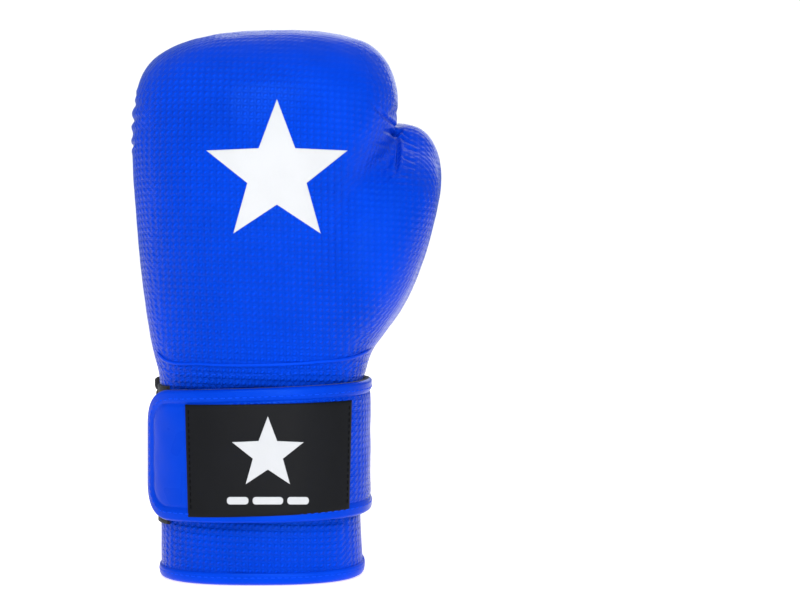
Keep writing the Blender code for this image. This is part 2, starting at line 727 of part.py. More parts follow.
def make_strap_landing():
    """The loop patch on the back of the cuff and the elastic that anchors the strap at the pinky side."""
    rows = (36, 69, 100)
    layer = ((-PATCH_THICKNESS - GAP * 0.5, 0.0), (-GAP * 0.5, 0.0))
    wall_piece("strap_loop_patch", back_wall, rows, (3, 11), layer, black_fabric())
    wall_piece("strap_elastic", back_wall, (38, 69, 102), (0, 3), layer, black_fabric())


def make_thumb_tether():
    """Short leather tab that reaches from the fist over the thumb's tip and keeps the thumb close."""
    line = ((68.8, 264.5), (70.0, 260.5), (72.8, 257.4), (76.5, 256.0), (79.5, 255.4))
    grid = []
    for i, (x, z) in enumerate(line):
        before, after = line[max(0, i - 1)], line[min(len(line) - 1, i + 1)]
        length = math.hypot(after[0] - before[0], after[1] - before[1])
        outward = Vector(((before[1] - after[1]) / length, 0.0, (after[0] - before[0]) / length))
        row = []
        for y in (20.0, 30.0):
            point = Vector((x, y, z))
            row.append((point + outward * 1.6, point))
        grid.append(row)
    slab("thumb_tether", grid, leather())


def main():
    for old in list(bpy.data.objects):
        bpy.data.objects.remove(old)
    make_mitt()
    palm = make_palm()
    make_grip_bar()
    thumb = make_thumb()
    make_thumb_passage(palm + thumb)
    make_thumb_tether()
    make_cuff()
    make_gusset()
    make_strap_landing()
    pivot("thumb_pivot", THUMB_HINGE, thumb)
    pivot("pinky_flap_pivot", PINKY_FLAP_HINGE, make_flap(-1))
    pivot("thumb_flap_pivot", THUMB_FLAP_HINGE, make_flap(1))
    strap = pivot("strap_pivot", STRAP_HINGE, make_strap_base())
    pivot("tab_pivot", TAB_HINGE, make_strap_tab(), strap)


main()
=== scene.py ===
"""Left-hand boxing glove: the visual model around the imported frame."""

import math

import bmesh
import bpy
import numpy as np
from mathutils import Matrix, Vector
from mathutils.bvhtree import BVHTree


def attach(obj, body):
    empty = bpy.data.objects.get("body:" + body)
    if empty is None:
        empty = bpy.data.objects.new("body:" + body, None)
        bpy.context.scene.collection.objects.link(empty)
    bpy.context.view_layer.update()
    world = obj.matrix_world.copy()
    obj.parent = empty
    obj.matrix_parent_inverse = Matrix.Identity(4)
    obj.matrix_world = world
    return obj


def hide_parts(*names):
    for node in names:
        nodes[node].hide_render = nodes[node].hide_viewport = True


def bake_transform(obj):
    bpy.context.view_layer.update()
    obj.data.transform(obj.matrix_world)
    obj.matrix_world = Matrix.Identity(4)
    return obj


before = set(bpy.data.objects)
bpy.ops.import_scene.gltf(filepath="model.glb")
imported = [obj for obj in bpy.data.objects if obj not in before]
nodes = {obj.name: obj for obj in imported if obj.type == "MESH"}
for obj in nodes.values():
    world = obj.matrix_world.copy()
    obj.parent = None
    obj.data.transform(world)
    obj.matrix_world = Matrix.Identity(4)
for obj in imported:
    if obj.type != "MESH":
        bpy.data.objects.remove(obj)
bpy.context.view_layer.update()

# The glove's own axis in the frame, in mm. Every length below is in mm from it.
AXIS = np.array([-12.75, -0.55, 0.0])

# ------------------------------------------------------------------ outlines, in mm from the glove axis
PINKY = ((0, -56.5), (40, -56.5), (104, -56.8), (112, -58), (118, -60.3), (150, -65), (205, -69.5),
         (242, -71.5), (264, -69.5), (278, -64), (288, -51.5), (294, -36), (298.5, -13), (300, 11))
THUMB_SIDE = ((0, 55.5), (36, 54), (104, 54.6), (112, 57), (140, 57), (180, 57.5), (215, 63), (240, 71.5),
              (260, 75), (278, 70.5), (288, 63), (294, 52), (298.5, 34), (300, 11))
PALM_SIDE = ((0, 55.5), (36, 54), (104, 54.6), (112, 56), (128, 53), (150, 51), (180, 49.5), (206, 49),
             (225, 56), (244, 65), (262, 69), (278, 65.5), (288, 58), (294, 48), (298.5, 31), (300, 11))
BACK = ((0, -39), (36, -39), (104, -39.6), (117, -43), (150, -50.5), (190, -59), (228, -62), (258, -58),
        (278, -47), (289, -35), (295.5, -22), (298.5, -13), (300, -4))
PALM = ((0, 37), (36, 36.8), (104, 36.8), (117, 37.5), (160, 37), (206, 38), (240, 36), (270, 30), (290, 18),
        (297, 8), (300, -4))
ROLL = ((206, 34), (207, 46), (209.5, 53), (214, 58), (224, 62.5), (240, 63.5), (256, 60.5), (274, 49.5),
        (286, 36), (294, 22), (298.5, 9), (300, -4))
LIP = ((-80, 216), (-60, 211), (-31, 205), (10, 200.5), (36, 204), (56, 213), (65, 232), (70, 244))
THUMB_OUT = ((116, 55), (122, 60), (131, 67.5), (140, 74), (150, 80), (160, 84.8), (180, 92.2),
             (200, 97.6), (217, 100.2), (229, 99.6), (240, 96), (247, 91), (251, 85), (253.5, 76))
THUMB_IN = ((116, 52), (122, 42), (190, 42), (204, 47), (213, 52.5), (225, 57.5), (240, 64), (248, 67),
            (253.5, 76))
THUMB_MID = ((116, 8), (150, 16), (190, 21.5), (253, 24))
THUMB_DEPTH = ((116, 0), (119, 8), (128, 16), (150, 23), (190, 26.5), (215, 26.5), (232, 24.5), (243, 20),
               (250, 12), (253.5, 0))
WEB_OUT = ((108, 57), (122, 60), (131, 66), (150, 78.5), (180, 91), (200, 96.3), (215, 98.5), (226, 97),
           (234, 92), (238, 86))
WEB_BACK = ((108, -22), (125, -30), (160, -40), (190, -41), (208, -37), (222, -26), (232, -14), (238, -6))

SEAM_Y = -4.0
HEIGHT = 300.0
CUFF_TOP = 104.0
ROLL_START = 206.0
WEB_INNER, WEB_FRONT = 10.0, 30.0


def along(table, at):
    """Monotone cubic through (position, value) pairs."""
    x, y = np.array(table, float).T
    at = np.clip(np.asarray(at, float), x[0], x[-1])
    step, rise = np.diff(x), np.diff(y)
    slope = rise / step
    m = np.zeros(len(x))
    inner = slope[:-1] * slope[1:] > 0
    with np.errstate(divide="ignore", invalid="ignore"):
        mean = 2 * slope[:-1] * slope[1:] / (slope[:-1] + slope[1:])
    m[1:-1] = np.where(inner, mean, 0)
    m[0], m[-1] = slope[0], slope[-1]
    i = np.clip(np.searchsorted(x, at, side="right") - 1, 0, len(x) - 2)
    t = (at - x[i]) / step[i]
    return (
        y[i] * (1 + 2 * t) * (1 - t) ** 2
        + y[i + 1] * t * t * (3 - 2 * t)
        + step[i] * (m[i] * t * (1 - t) ** 2 - m[i + 1] * t * t * (1 - t))
    )


def ease(low, high, at):
    t = np.clip((np.asarray(at, float) - low) / (high - low), 0, 1)
    return t * t * (3 - 2 * t)


def superellipse(count, power):
    """Cosine and sine of a full turn, each raised to a power under 1, so squarer than a circle."""
    turn = np.linspace(0, 2 * np.pi, count, endpoint=False)
    c, s = np.cos(turn), np.sin(turn)
    return np.sign(c) * abs(c) ** power, np.sign(s) * abs(s) ** power


def unit(vectors):
    """The same vectors at length 1."""
    vectors = np.asarray(vectors, float)
    return vectors / np.linalg.norm(vectors, axis=-1, keepdims=True)


def run_along(points):
    """Distance of each point along the line through them."""
    return np.concatenate([[0], np.cumsum(np.linalg.norm(np.diff(points, axis=0), axis=1))])


def to_metres(points):
    """From mm from the glove axis to Blender's units."""
    return (np.asarray(points, float) + AXIS) * 0.001


def from_metres(points):
    return np.asarray(points, float) * 1000 - AXIS


def arc(share, power=2.5):
    """Cosine and sine of a superellipse's half turn."""
    angle = np.pi * np.asarray(share, float)
    c, s = np.cos(angle), np.clip(np.sin(angle), 0, None)
    return np.sign(c) * np.abs(c) ** (2 / power), s ** (2 / power)


# ------------------------------------------------------------------ meshes
def make(name, points, faces, mats=()):
    """Object from points in mm from the glove axis."""
    mesh = bpy.data.meshes.new(name)
    mesh.from_pydata(to_metres(np.reshape(points, (-1, 3))).tolist(), [], [tuple(f) for f in faces])
    made = bpy.data.objects.new(name, mesh)
    bpy.context.scene.collection.objects.link(made)
    for mat in mats:
        mesh.materials.append(mat)
    mesh.shade_smooth()
    return made


def edited(obj, change):
    """Runs a change on an object's mesh, as a BMesh."""
    bm = bmesh.new()
    bm.from_mesh(obj.data)
    change(bm)
    bm.to_mesh(obj.data)
    bm.free()
    return obj


def face_outwards(bm):
    bmesh.ops.recalc_face_normals(bm, faces=bm.faces)


def weld_and_face_outwards(bm):
    bmesh.ops.remove_doubles(bm, verts=bm.verts, dist=2e-6)
    face_outwards(bm)


def fix_normals(obj):
    return edited(obj, weld_and_face_outwards)


def grid_faces(rows, cols, wrap_cols=False, start=0):
    faces = []
    for i in range(rows - 1):
        for j in range(cols if wrap_cols else cols - 1):
            a, b = i * cols + j, i * cols + (j + 1) % cols
            faces.append((a + start, b + start, b + cols + start, a + cols + start))
    return faces


def tube_faces(rows, cols, start=0):
    """A tube through rings of points, closed at both ends."""
    last = start + (rows - 1) * cols
    ends = [tuple(range(start, start + cols)), tuple(range(last, last + cols))]
    return grid_faces(rows, cols, wrap_cols=True, start=start) + ends


def loft(name, rings, mats=()):
    """Closed loft through rings of equal length, [ring][point][xyz]."""
    rings = np.asarray(rings, float)
    return fix_normals(make(name, rings, tube_faces(*rings.shape[:2]), mats))


def coords(obj):
    out = np.empty(len(obj.data.vertices) * 3)
    obj.data.vertices.foreach_get("co", out)
    return from_metres(out.reshape(-1, 3))


def set_coords(obj, co):
    obj.data.vertices.foreach_set("co", to_metres(co).ravel())
    obj.data.update()


def normals(obj):
    out = np.empty(len(obj.data.vertices) * 3)
    obj.data.vertices.foreach_get("normal", out)
    return out.reshape(-1, 3)


def apply(obj):
    """Applies every modifier."""
    graph = bpy.context.evaluated_depsgraph_get()
    done = bpy.data.meshes.new_from_object(obj.evaluated_get(graph))
    obj.modifiers.clear()
    old = obj.data
    obj.data = done
    bpy.data.meshes.remove(old)
    done.name = obj.name
    return obj


def join(name, objs):
    """One object from several, with their materials."""
    bm = bmesh.new()
    mats = []
    for o in objs:
        mesh = o.data
        remap = []
        for mat in mesh.materials:
            if mat not in mats:
                mats.append(mat)
            remap.append(mats.index(mat))
        if remap:
            index = np.empty(len(mesh.polygons), int)
            mesh.polygons.foreach_get("material_index", index)
            mesh.polygons.foreach_set("material_index", np.array(remap)[index])
        bm.from_mesh(mesh)
    mesh = bpy.data.meshes.new(name)
    bm.to_mesh(mesh)
    bm.free()
    for o in objs:
        bpy.data.objects.remove(o)
    for mat in mats:
        mesh.materials.append(mat)
    made = bpy.data.objects.new(name, mesh)
    bpy.context.scene.collection.objects.link(made)
    return made


def relax(co, edges, weight, rounds):
    """Laplacian smoothing, each point by its weight and half way each round."""
    n = len(co)
    near, far = np.concatenate([edges, edges[:, ::-1]]).T
    degree = np.bincount(near, minlength=n)
    for _ in range(rounds):
        mean = np.stack([np.bincount(near, co[far, k], n) for k in range(3)], axis=1) / degree[:, None]
        co = co + (mean - co) * (0.5 * weight)[:, None]
    return co


def edges_of(obj):
    out = np.empty(len(obj.data.edges) * 2, int)
    obj.data.edges.foreach_get("vertices", out)
    return out.reshape(-1, 2)


def attribute(obj, name, values):
    values = np.asarray(values, np.float32)
    kind = "FLOAT" if values.ndim == 1 else "FLOAT_VECTOR"
    made = obj.data.attributes.get(name) or obj.data.attributes.new(name, kind, "POINT")
    made.data.foreach_set("value" if values.ndim == 1 else "vector", values.ravel())


def remember(obj, emboss=1.0):
    """Stores rest place and direction for the materials, which then don't slide when the piece moves."""
    co = coords(obj)
    attribute(obj, "rest", co * 0.001)
    attribute(obj, "facing", normals(obj))
    amount = emboss(co) if callable(emboss) else emboss
    attribute(obj, "emboss", np.broadcast_to(amount, len(co)).astype(float))
    return obj


# ------------------------------------------------------------------ materials, in metres
EMBOSS_PITCH, EMBOSS_DEPTH, THREAD_LAY = 0.0034, 0.0008, 0.0005


class Nodes:
    """Short way to write a node tree."""

    def __init__(self, name):
        self.mat = bpy.data.materials.new(name)
        self.mat.use_nodes = True
        self.tree = self.mat.node_tree
        self.shader = self.tree.nodes["Principled BSDF"]

    def add(self, kind, **values):
        node = self.tree.nodes.new(kind)
        for key, value in values.items():
            setattr(node, key, value)
        return node

    def link(self, source, target):
        self.tree.links.new(source, target)

    def put(self, socket, value):
        if isinstance(value, bpy.types.NodeSocket):
            self.link(value, socket)
        elif value is not None:
            socket.default_value = value

    def math(self, operation, a, b=None, c=None):
        node = self.add("ShaderNodeMath", operation=operation)
        for socket, value in zip(node.inputs, (a, b, c)):
            self.put(socket, value)
        return node.outputs[0]

    def attribute(self, name):
        return self.add("ShaderNodeAttribute", attribute_name=name)

    def place(self, rigid):
        """Where the point was at rest."""
        if rigid:
            return self.add("ShaderNodeTexCoord").outputs["Object"]
        return self.attribute("rest").outputs["Vector"]

    def xyz(self, vector):
        split = self.add("ShaderNodeSeparateXYZ")
        self.link(vector, split.inputs[0])
        return split.outputs

    def fixed(self, values):
        """Shader inputs that are the same all over."""
        for name, value in values.items():
            self.shader.inputs[name].default_value = value

    def colored(self, value, low, high, dark, pale):
        """Base colour from dark to pale while the value goes from low to high."""
        share = self.mapped(value, low, high, 0.0, 1.0)
        self.link(self.mix(share, (*dark, 1), (*pale, 1)), self.shader.inputs["Base Color"])

    def bumped(self, height, distance, strength):
        self.link(self.bump(height, distance, strength), self.shader.inputs["Normal"])

    def mix(self, factor, a, b):
        node = self.add("ShaderNodeMix", data_type="RGBA")
        self.put(node.inputs[0], factor)
        self.put(node.inputs[6], a)
        self.put(node.inputs[7], b)
        return node.outputs[2]

    def mapped(self, value, low, high, to_low, to_high):
        node = self.add("ShaderNodeMapRange", interpolation_type="SMOOTHSTEP")
        for socket, part in zip(node.inputs, (value, low, high, to_low, to_high)):
            self.put(socket, part)
        return node.outputs[0]

    def noise(self, vector, scale, detail=3.0, rough=0.55):
        node = self.add("ShaderNodeTexNoise")
        self.put(node.inputs["Vector"], vector)
        node.inputs["Scale"].default_value = scale
        node.inputs["Detail"].default_value = detail
        node.inputs["Roughness"].default_value = rough
        return node.outputs[0]

    def bump(self, height, distance, strength=1.0, normal=None):
        node = self.add("ShaderNodeBump")
        node.inputs["Distance"].default_value = distance
        self.put(node.inputs["Strength"], strength)
        self.put(node.inputs["Height"], height)
        if normal is not None:
            self.link(normal, node.inputs["Normal"])
        return node.outputs[0]


def emboss_cell(n, u, v, pitch):
    """Raised diagonal ovals with a round dimple between them, 0 to 1."""
    turn = 2 * math.pi / pitch
    a, b = n.math("MULTIPLY", u, turn), n.math("MULTIPLY", v, turn)
    slope = n.math("COSINE", n.math("SUBTRACT", a, b))
    total = n.math("ADD", n.math("COSINE", a), n.math("COSINE", b))
    total = n.math("MULTIPLY_ADD", slope, 0.75, total)
    raised = n.mapped(total, -0.3, 2.1, 0.0, 1.0)
    dimple = n.mapped(total, -1.45, -0.9, -0.45, 0.0)
    return n.math("ADD", raised, dimple)


def emboss_height(n, rest, pitch):
    """The moulded pattern, seen along each axis in turn and blended by the surface's direction at rest."""
    x, y, z = n.xyz(rest)
    weights = [
        n.math("POWER", n.math("ABSOLUTE", part), 6.0)
        for part in n.xyz(n.attribute("facing").outputs["Vector"])
    ]
    total = n.math("ADD", n.math("ADD", weights[0], weights[1]), weights[2])
    shear = n.math("MULTIPLY_ADD", x, 0.04, z)
    cells = [emboss_cell(n, u, v, pitch) for u, v in ((y, z), (x, shear), (x, y))]
    parts = [n.math("MULTIPLY", c, n.math("DIVIDE", w, total)) for c, w in zip(cells, weights)]
    height = n.math("ADD", n.math("ADD", parts[0], parts[1]), parts[2])
    return n.math("MULTIPLY", height, n.attribute("emboss").outputs["Fac"])


def leather(name, color, pitch=None, rough=0.29):
    """Coated synthetic leather, with a moulded pattern of this pitch where the emboss attribute allows. The
    pattern also paints shade into the base colour of its dimples and a highlight onto its raised cells.
    """
    n = Nodes(name)
    rest = n.attribute("rest").outputs["Vector"]
    broad = n.noise(rest, 28.0, 2.0)
    tone_and_painted_shade = n.mapped(broad, 0.3, 0.7, 0.93, 1.05)
    normal = n.bump(n.noise(rest, 900.0, 4.0, 0.6), 0.00005, 0.5)
    if pitch:
        pattern = emboss_height(n, rest, pitch)
        normal = n.bump(pattern, EMBOSS_DEPTH, 1.0, normal)
        # Painted shade in the pattern's dimples and painted highlight on its raised cells: the base colour
        # goes from 0.84 to 1.1 of itself with the pattern's height, on top of random tone.
        tone_and_painted_shade = n.math("MULTIPLY", tone_and_painted_shade, n.mapped(pattern, -0.4, 1.0, 0.84, 1.1))
    tint = n.add("ShaderNodeMix", data_type="RGBA", blend_type="MULTIPLY")
    tint.inputs[0].default_value = 1.0
    tint.inputs[6].default_value = (*color, 1)
    grey = n.add("ShaderNodeCombineColor")
    for socket in grey.inputs:
        n.link(tone_and_painted_shade, socket)
    n.link(grey.outputs[0], tint.inputs[7])
    n.link(tint.outputs[2], n.shader.inputs["Base Color"])
    n.link(n.mapped(broad, 0.25, 0.75, rough - 0.04, rough + 0.05), n.shader.inputs["Roughness"])
    n.link(normal, n.shader.inputs["Normal"])
    n.fixed({"Specular IOR Level": 0.17, "Specular Tint": (0.1, 0.45, 1.0, 1)})
    return n.mat


def cloth(name, color, pitch=0.0009, rough=0.9, sheen=0.15, knit=False, rigid=False):
    """Woven or knitted fabric."""
    n = Nodes(name)
    rest = n.place(rigid)
    x, y, z = n.xyz(rest)
    turn = 2 * math.pi / pitch
    across = n.math("SINE", n.math("MULTIPLY", n.math("ADD", x, y), turn))
    down = n.math("SINE", n.math("MULTIPLY", z, turn * (0.5 if knit else 1.0)))
    height = n.math("MULTIPLY_ADD", n.noise(rest, 2500.0, 3.0), 0.6, n.math("MULTIPLY", across, down))
    n.bumped(height, 0.00008, 0.8)
    # Painted shade: the base colour falls to 0.55 of itself where the weave is low, with random tone from the
    # noise.
    n.colored(height, -0.6, 1.4, [c * 0.55 for c in color], color)
    n.fixed({"Roughness": rough, "Sheen Weight": sheen, "Specular IOR Level": 0.25})
    return n.mat


def fuzz_tape(name, color):
    """Hook-and-loop tape on a rigid node."""
    n = Nodes(name)
    rest = n.place(rigid=True)
    cell = n.add("ShaderNodeTexVoronoi")
    n.link(rest, cell.inputs["Vector"])
    cell.inputs["Scale"].default_value = 1400.0
    height = n.math("SUBTRACT", n.noise(rest, 600.0, 5.0), cell.outputs["Distance"])
    n.bumped(height, 0.0004, 1.0)
    # Painted shade: the base colour falls to 0.4 of itself where the fuzz is low, with random tone from the
    # noise.
    n.colored(height, -0.3, 0.5, [c * 0.4 for c in color], color)
    n.fixed({"Roughness": 0.95, "Sheen Weight": 0.3})
    return n.mat


def rubber(name, color, grain=0.00006, uneven=1.0):
    """Moulded rubber or print, fine grained."""
    n = Nodes(name)
    rest = n.attribute("rest").outputs["Vector"]
    n.bumped(n.noise(rest, 1500.0, 3.0), grain, 0.7)
    wide = n.noise(rest, 60.0, 3.0)
    darker = [c * (1 - 0.1 * uneven) for c in color]
    paler = [c * (1 + 0.08 * uneven) for c in color]
    n.colored(wide, 0.3, 0.7, darker, paler)
    n.link(n.mapped(wide, 0.3, 0.7, 0.45, 0.55), n.shader.inputs["Roughness"])
    n.fixed({"Specular IOR Level": 0.1})
    return n.mat


def thread(name, color):
    """Twisted sewing thread."""
    n = Nodes(name)
    x, y, z = n.xyz(n.attribute("rest").outputs["Vector"])
    total = n.math("ADD", n.math("ADD", x, y), z)
    twist = n.math("SINE", n.math("MULTIPLY", total, 2 * math.pi / THREAD_LAY))
    n.bumped(twist, 0.00006, 0.8)
    # Painted shade in the twist's grooves: the base colour falls to 0.75 of itself there.
    n.colored(twist, -1.0, 1.0, [c * 0.75 for c in color], color)
    n.fixed({"Roughness": 0.6, "Specular IOR Level": 0.05})
    return n.mat


def metal(name, color):
    n = Nodes(name)
    fine = n.noise(n.place(rigid=True), 3000.0, 2.0)
    n.link(n.mapped(fine, 0.3, 0.7, 0.24, 0.36), n.shader.inputs["Roughness"])
    n.fixed({"Base Color": (*color, 1), "Metallic": 1.0})
    return n.mat


BLUE = (0.0003, 0.0425, 0.56)
BLACK = (0.02, 0.02, 0.022)
EMBOSSED = leather("embossed_leather", BLUE, EMBOSS_PITCH)
SMOOTH = leather("smooth_leather", BLUE, None, 0.34)
LINING = cloth("black_lining", BLACK)
RIGID_LINING = cloth("grip_cover", BLACK, rigid=True)
ELASTIC = cloth("black_elastic", (0.016, 0.016, 0.018), 0.0016, 0.85, 0.1, True, True)
TAPE = fuzz_tape("hook_and_loop", (0.022, 0.022, 0.024))
LABEL = rubber("label_rubber", (0.0045, 0.0048, 0.006))
WHITE = rubber("white_print", (0.53, 0.53, 0.535), 0.0001, 0.2)
BLUE_THREAD = thread("blue_thread", (0.002, 0.075, 0.82))
BLACK_THREAD = thread("black_thread", (0.002, 0.002, 0.0025))
STEEL = metal("eyelet_steel", (0.16, 0.2, 0.34))


# ------------------------------------------------------------------ the mitt's skin
def hand_rings():
    """Hand part: back and palm halves in one closed ring."""
    rows = np.concatenate([np.linspace(100, 280, 60), np.linspace(282.5, 299.6, 14)])
    c, s = arc(np.linspace(0, 1, 61))
    rings = []
    for z in rows:
        left, right, inner = along(PINKY, z), along(THUMB_SIDE, z), along(PALM_SIDE, z)
        x = (left + right) / 2 - (right - left) / 2 * c
        y = SEAM_Y + (min(SEAM_Y - 0.5, along(BACK, z)) - SEAM_Y) * s
        back = np.stack([x, y, np.full_like(x, z)], axis=1)
        edge = inner + (right - inner) * (1 - s) ** 1.5
        half = (edge - left) / 2
        x = (left + edge) / 2 - half * c
        y = SEAM_Y + (max(SEAM_Y + 0.5, along(PALM, z)) - SEAM_Y) * s
        palm = np.stack([x, y, np.full_like(x, z)], axis=1)[::-1]
        rings.append(np.concatenate([back, palm[1:-1]]))
    return rings


def roll_rings():
    """The padded roll over the fingertips, whose lower lip follows LIP."""
    lip = [ROLL_START, 206.5, 207.2, 208.3, 210, 212.5]
    rows = np.concatenate([lip, np.linspace(216, 288, 26), np.linspace(290, 299.5, 8)])
    c, s = arc(np.linspace(0, 1, 61), 2.6)
    rings = []
    for z in rows:
        left, inner = along(PINKY, z), along(PALM_SIDE, z)
        low = 1 - ease(ROLL_START, 240, z)
        left, inner = left + 1.5 + 3 * low, inner - 0.5 - 3 * low
        far = max(SEAM_Y + 1, along(ROLL, z))
        x = (left + inner) / 2 - (inner - left) / 2 * c
        y = 2 + (far - 2) * s
        lift = (along(LIP, x) - ROLL_START) * (1 - (z - ROLL_START) / (HEIGHT - ROLL_START)) ** 1.4
        front = np.stack([x, y, z + lift], axis=1)
        deep = np.full_like(x, min(-1.0, far - 3))
        inside = np.stack([x[::-1], deep, (z + lift)[::-1]], axis=1)
        rings.append(np.concatenate([front, inside[1:-1]]))
    return rings


def thumb_rings():
    c, s = superellipse(40, 2 / 2.3)
    rings = []
    for z in np.concatenate([np.linspace(116.3, 246, 50), np.linspace(247, 253.3, 8)]):
        a, b = along(THUMB_IN, z), along(THUMB_OUT, z)
        x = (a + b) / 2 + (b - a) / 2 * c
        y = along(THUMB_MID, z) + max(0.3, along(THUMB_DEPTH, z)) * s
        rings.append(np.stack([x, y, np.full_like(x, z)], axis=1))
    return rings


def web_rings():
    """The web between the hand and the thumb, from WEB_INNER outwards and from WEB_FRONT backwards."""
    c, s = superellipse(40, 0.95)
    rings = []
    for z in np.linspace(108, 238, 36):
        right, back = along(WEB_OUT, z), along(WEB_BACK, z)
        x = (WEB_INNER + right) / 2 + (right - WEB_INNER) / 2 * c
        y = (back + WEB_FRONT) / 2 + (WEB_FRONT - back) / 2 * s
        rings.append(np.stack([x, y, np.full_like(x, z)], axis=1))
    return rings


def bvh_of(obj):
    return BVHTree.FromPolygons(
        [v.co for v in obj.data.vertices], [tuple(p.vertices) for p in obj.data.polygons]
    )


def nearest(tree, co):
    """Distance in mm from each point in mm to the tree's surface."""
    return np.array([tree.find_nearest(Vector(p))[3] for p in to_metres(co)]) * 1000


def make_skin():
    """One skin over all four forms, and the trees of the three that it is split by."""
    hand = loft("hand_form", hand_rings())
    roll = loft("roll_form", roll_rings())
    thumb = loft("thumb_form", thumb_rings())
    web = loft("web_form", web_rings())
    thumb_tree, hand_tree, roll_tree = bvh_of(thumb), bvh_of(hand), bvh_of(roll)
    skin = join("skin", [hand, roll, thumb, web])
    remesh = skin.modifiers.new("remesh", "REMESH")
    remesh.mode = "VOXEL"
    remesh.voxel_size = 0.0021
    apply(skin)
    co, edges = coords(skin), edges_of(skin)
    base = np.clip((co[:, 2] - CUFF_TOP) / 10, 0, 1)
    crease = ease(206, 216, co[:, 2]) * ease(50, 56, co[:, 0]) * (1 - ease(70, 80, co[:, 0]))
    lip = np.exp(-(((co[:, 2] - along(LIP, co[:, 0])) / 9.0) ** 2)) * ease(20, 34, co[:, 1])
    co = relax(co, edges, base * (1 - 0.93 * crease) * (1 - 0.96 * lip), 34)
    co = relax(co, edges, base * (1 - 0.6 * lip), 5)
    set_coords(skin, co)
    subdivide = skin.modifiers.new("subdivide", "SUBSURF")
    subdivide.levels = subdivide.render_levels = 1
    apply(skin)
    return skin, thumb_tree, hand_tree, roll_tree


def refine(obj, chosen):
    """Halves the faces in one region."""

    def halve(bm):
        faces = [f for f in bm.faces if chosen(*from_metres(f.calc_center_median()))]
        edges = list({e for f in faces for e in f.edges})
        bmesh.ops.subdivide_edges(bm, edges=edges, cuts=1, use_grid_fill=True, smooth=0.0)

    edited(obj, halve).data.shade_smooth()


def near_thumb_folds(x, y, z):
    return 60 < x < 94 and 206 < z < 258 and y < 16


def cut_below(obj, height):
    def cut(bm):
        everything = bm.verts[:] + bm.edges[:] + bm.faces[:]
        plane = {"plane_co": (0, 0, height * 0.001), "plane_no": (0, 0, 1)}
        bmesh.ops.bisect_plane(bm, geom=everything, clear_inner=True, dist=1e-7, **plane)

    edited(obj, cut).data.shade_smooth()


# Folds: (x, z, length, turn in degrees, width, depth), seen from the back of the hand.
BACK_FOLDS = (
    (74.8, 230, 19, 88, 0.8, 1.9), (73.5, 243, 7, 40, 1.0, 1.6), (69.5, 246.5, 9, -28, 0.9, 1.1),
    (70, 240.5, 7, 8, 0.9, 0.8), (72, 251, 8, 60, 1.0, 1.0), (-70, 233, 9, 8, 1.3, 1.2),
    (-70, 247, 16, -12, 1.6, 1.1), (-69, 256, 14, -22, 1.7, 0.9), (-71, 262, 10, -35, 1.4, 0.7),
    (-66, 240, 20, 4, 2.2, 0.5), (79.5, 238, 9, -30, 0.8, 0.45), (80.5, 233, 10, -20, 0.8, 0.35),
    (80, 227, 9, -24, 0.8, 0.4), (81, 222, 8, -8, 0.8, 0.3), (78.5, 217, 7, -2, 0.9, 0.3),
    (77, 213, 6, 18, 0.9, 0.25), (78, 243, 8, -46, 0.8, 0.4), (69, 222, 8, 62, 0.9, 0.35),
    (70, 216, 8, 44, 0.9, 0.3), (66, 233, 9, 12, 0.9, 0.4), (66, 227, 8, 28, 0.9, 0.35),
    (64, 250, 9, -42, 1.0, 0.5),
)


def fold_depth(co, folds):
    """How far each point sinks into the folds."""
    total = np.zeros(len(co))
    for x, z, length, turn, width, depth in folds:
        c, s = math.cos(math.radians(turn)), math.sin(math.radians(turn))
        dx, dz = co[:, 0] - x, co[:, 2] - z
        u, v = dx * c + dz * s, -dx * s + dz * c
        v = v - 0.02 * u * u / max(1.0, length / 8)
        shape = np.exp(-((v / width) ** 2)) - 0.35 * np.exp(-(((abs(v) - 2.2 * width) / width) ** 2))
        total += depth * shape * np.exp(-((u / (length * 0.5)) ** 4))
    return total


def waves(co, scale, seed):
    """Soft uneven surface, about -1 to 1."""
    local = np.random.default_rng(seed)
    out = np.zeros(len(co))
    for _ in range(7):
        k = local.normal(size=3)
        k /= np.linalg.norm(k)
        out += np.sin(co @ k * 2 * np.pi / (scale * local.uniform(0.7, 1.5)) + local.uniform(0, 6.28))
    return out / 4.0


def pucker_depth(co, palm):
    """Ripples and a groove along the thumb's palm-side seam."""
    z = co[:, 2]
    across = co[:, 0] - np.interp(z, PUCKER_Z, PUCKER_X)
    ripple = np.sin(z * 2 * np.pi / 4.3 + 0.35 * across + 0.8 * np.sin(z / 7.0))
    reach = np.exp(-((np.clip(abs(across) - 1, 0, None) / 6.5) ** 2))
    reach *= palm * ease(148, 156, z) * (1 - ease(243, 250, z))
    groove = np.exp(-((across / 1.5) ** 2)) * palm * (co[:, 1] > 20) * ease(140, 150, z)
    return 0.6 * ripple * reach + 1.3 * groove


def slit_fold_depth(co, palm):
    """Upright folds beside the slit."""
    z, total = co[:, 2], 0.0
    for x, width, depth in ((27.5, 2.2, 1.0), (34.5, 2.4, 0.8), (-21, 2.5, 0.6)):
        bend = x + 2.5 * np.sin((z - 110) / 22)
        total = total + depth * np.exp(-(((co[:, 0] - bend) / width) ** 2))
    return total * palm * (1 - ease(158, 176, z))


def shape_skin(skin):
    co, normal = coords(skin), normals(skin)
    out = normal[:, 1]
    sink = fold_depth(co, BACK_FOLDS) * (out < 0.35) * (co[:, 1] < 30)
    sink = sink + pucker_depth(co, out > 0) + slit_fold_depth(co, out > 0.5)
    co = co - normal * (sink - 0.28 * waves(co, 34, 3) - 0.12 * waves(co, 13, 5))[:, None]
    set_coords(skin, co)


PUCKER_Z = (128, 150, 163, 177, 191, 207, 228, 245, 252)
PUCKER_X = (64, 70.7, 74.5, 79, 80.5, 78.4, 75, 69.6, 68)


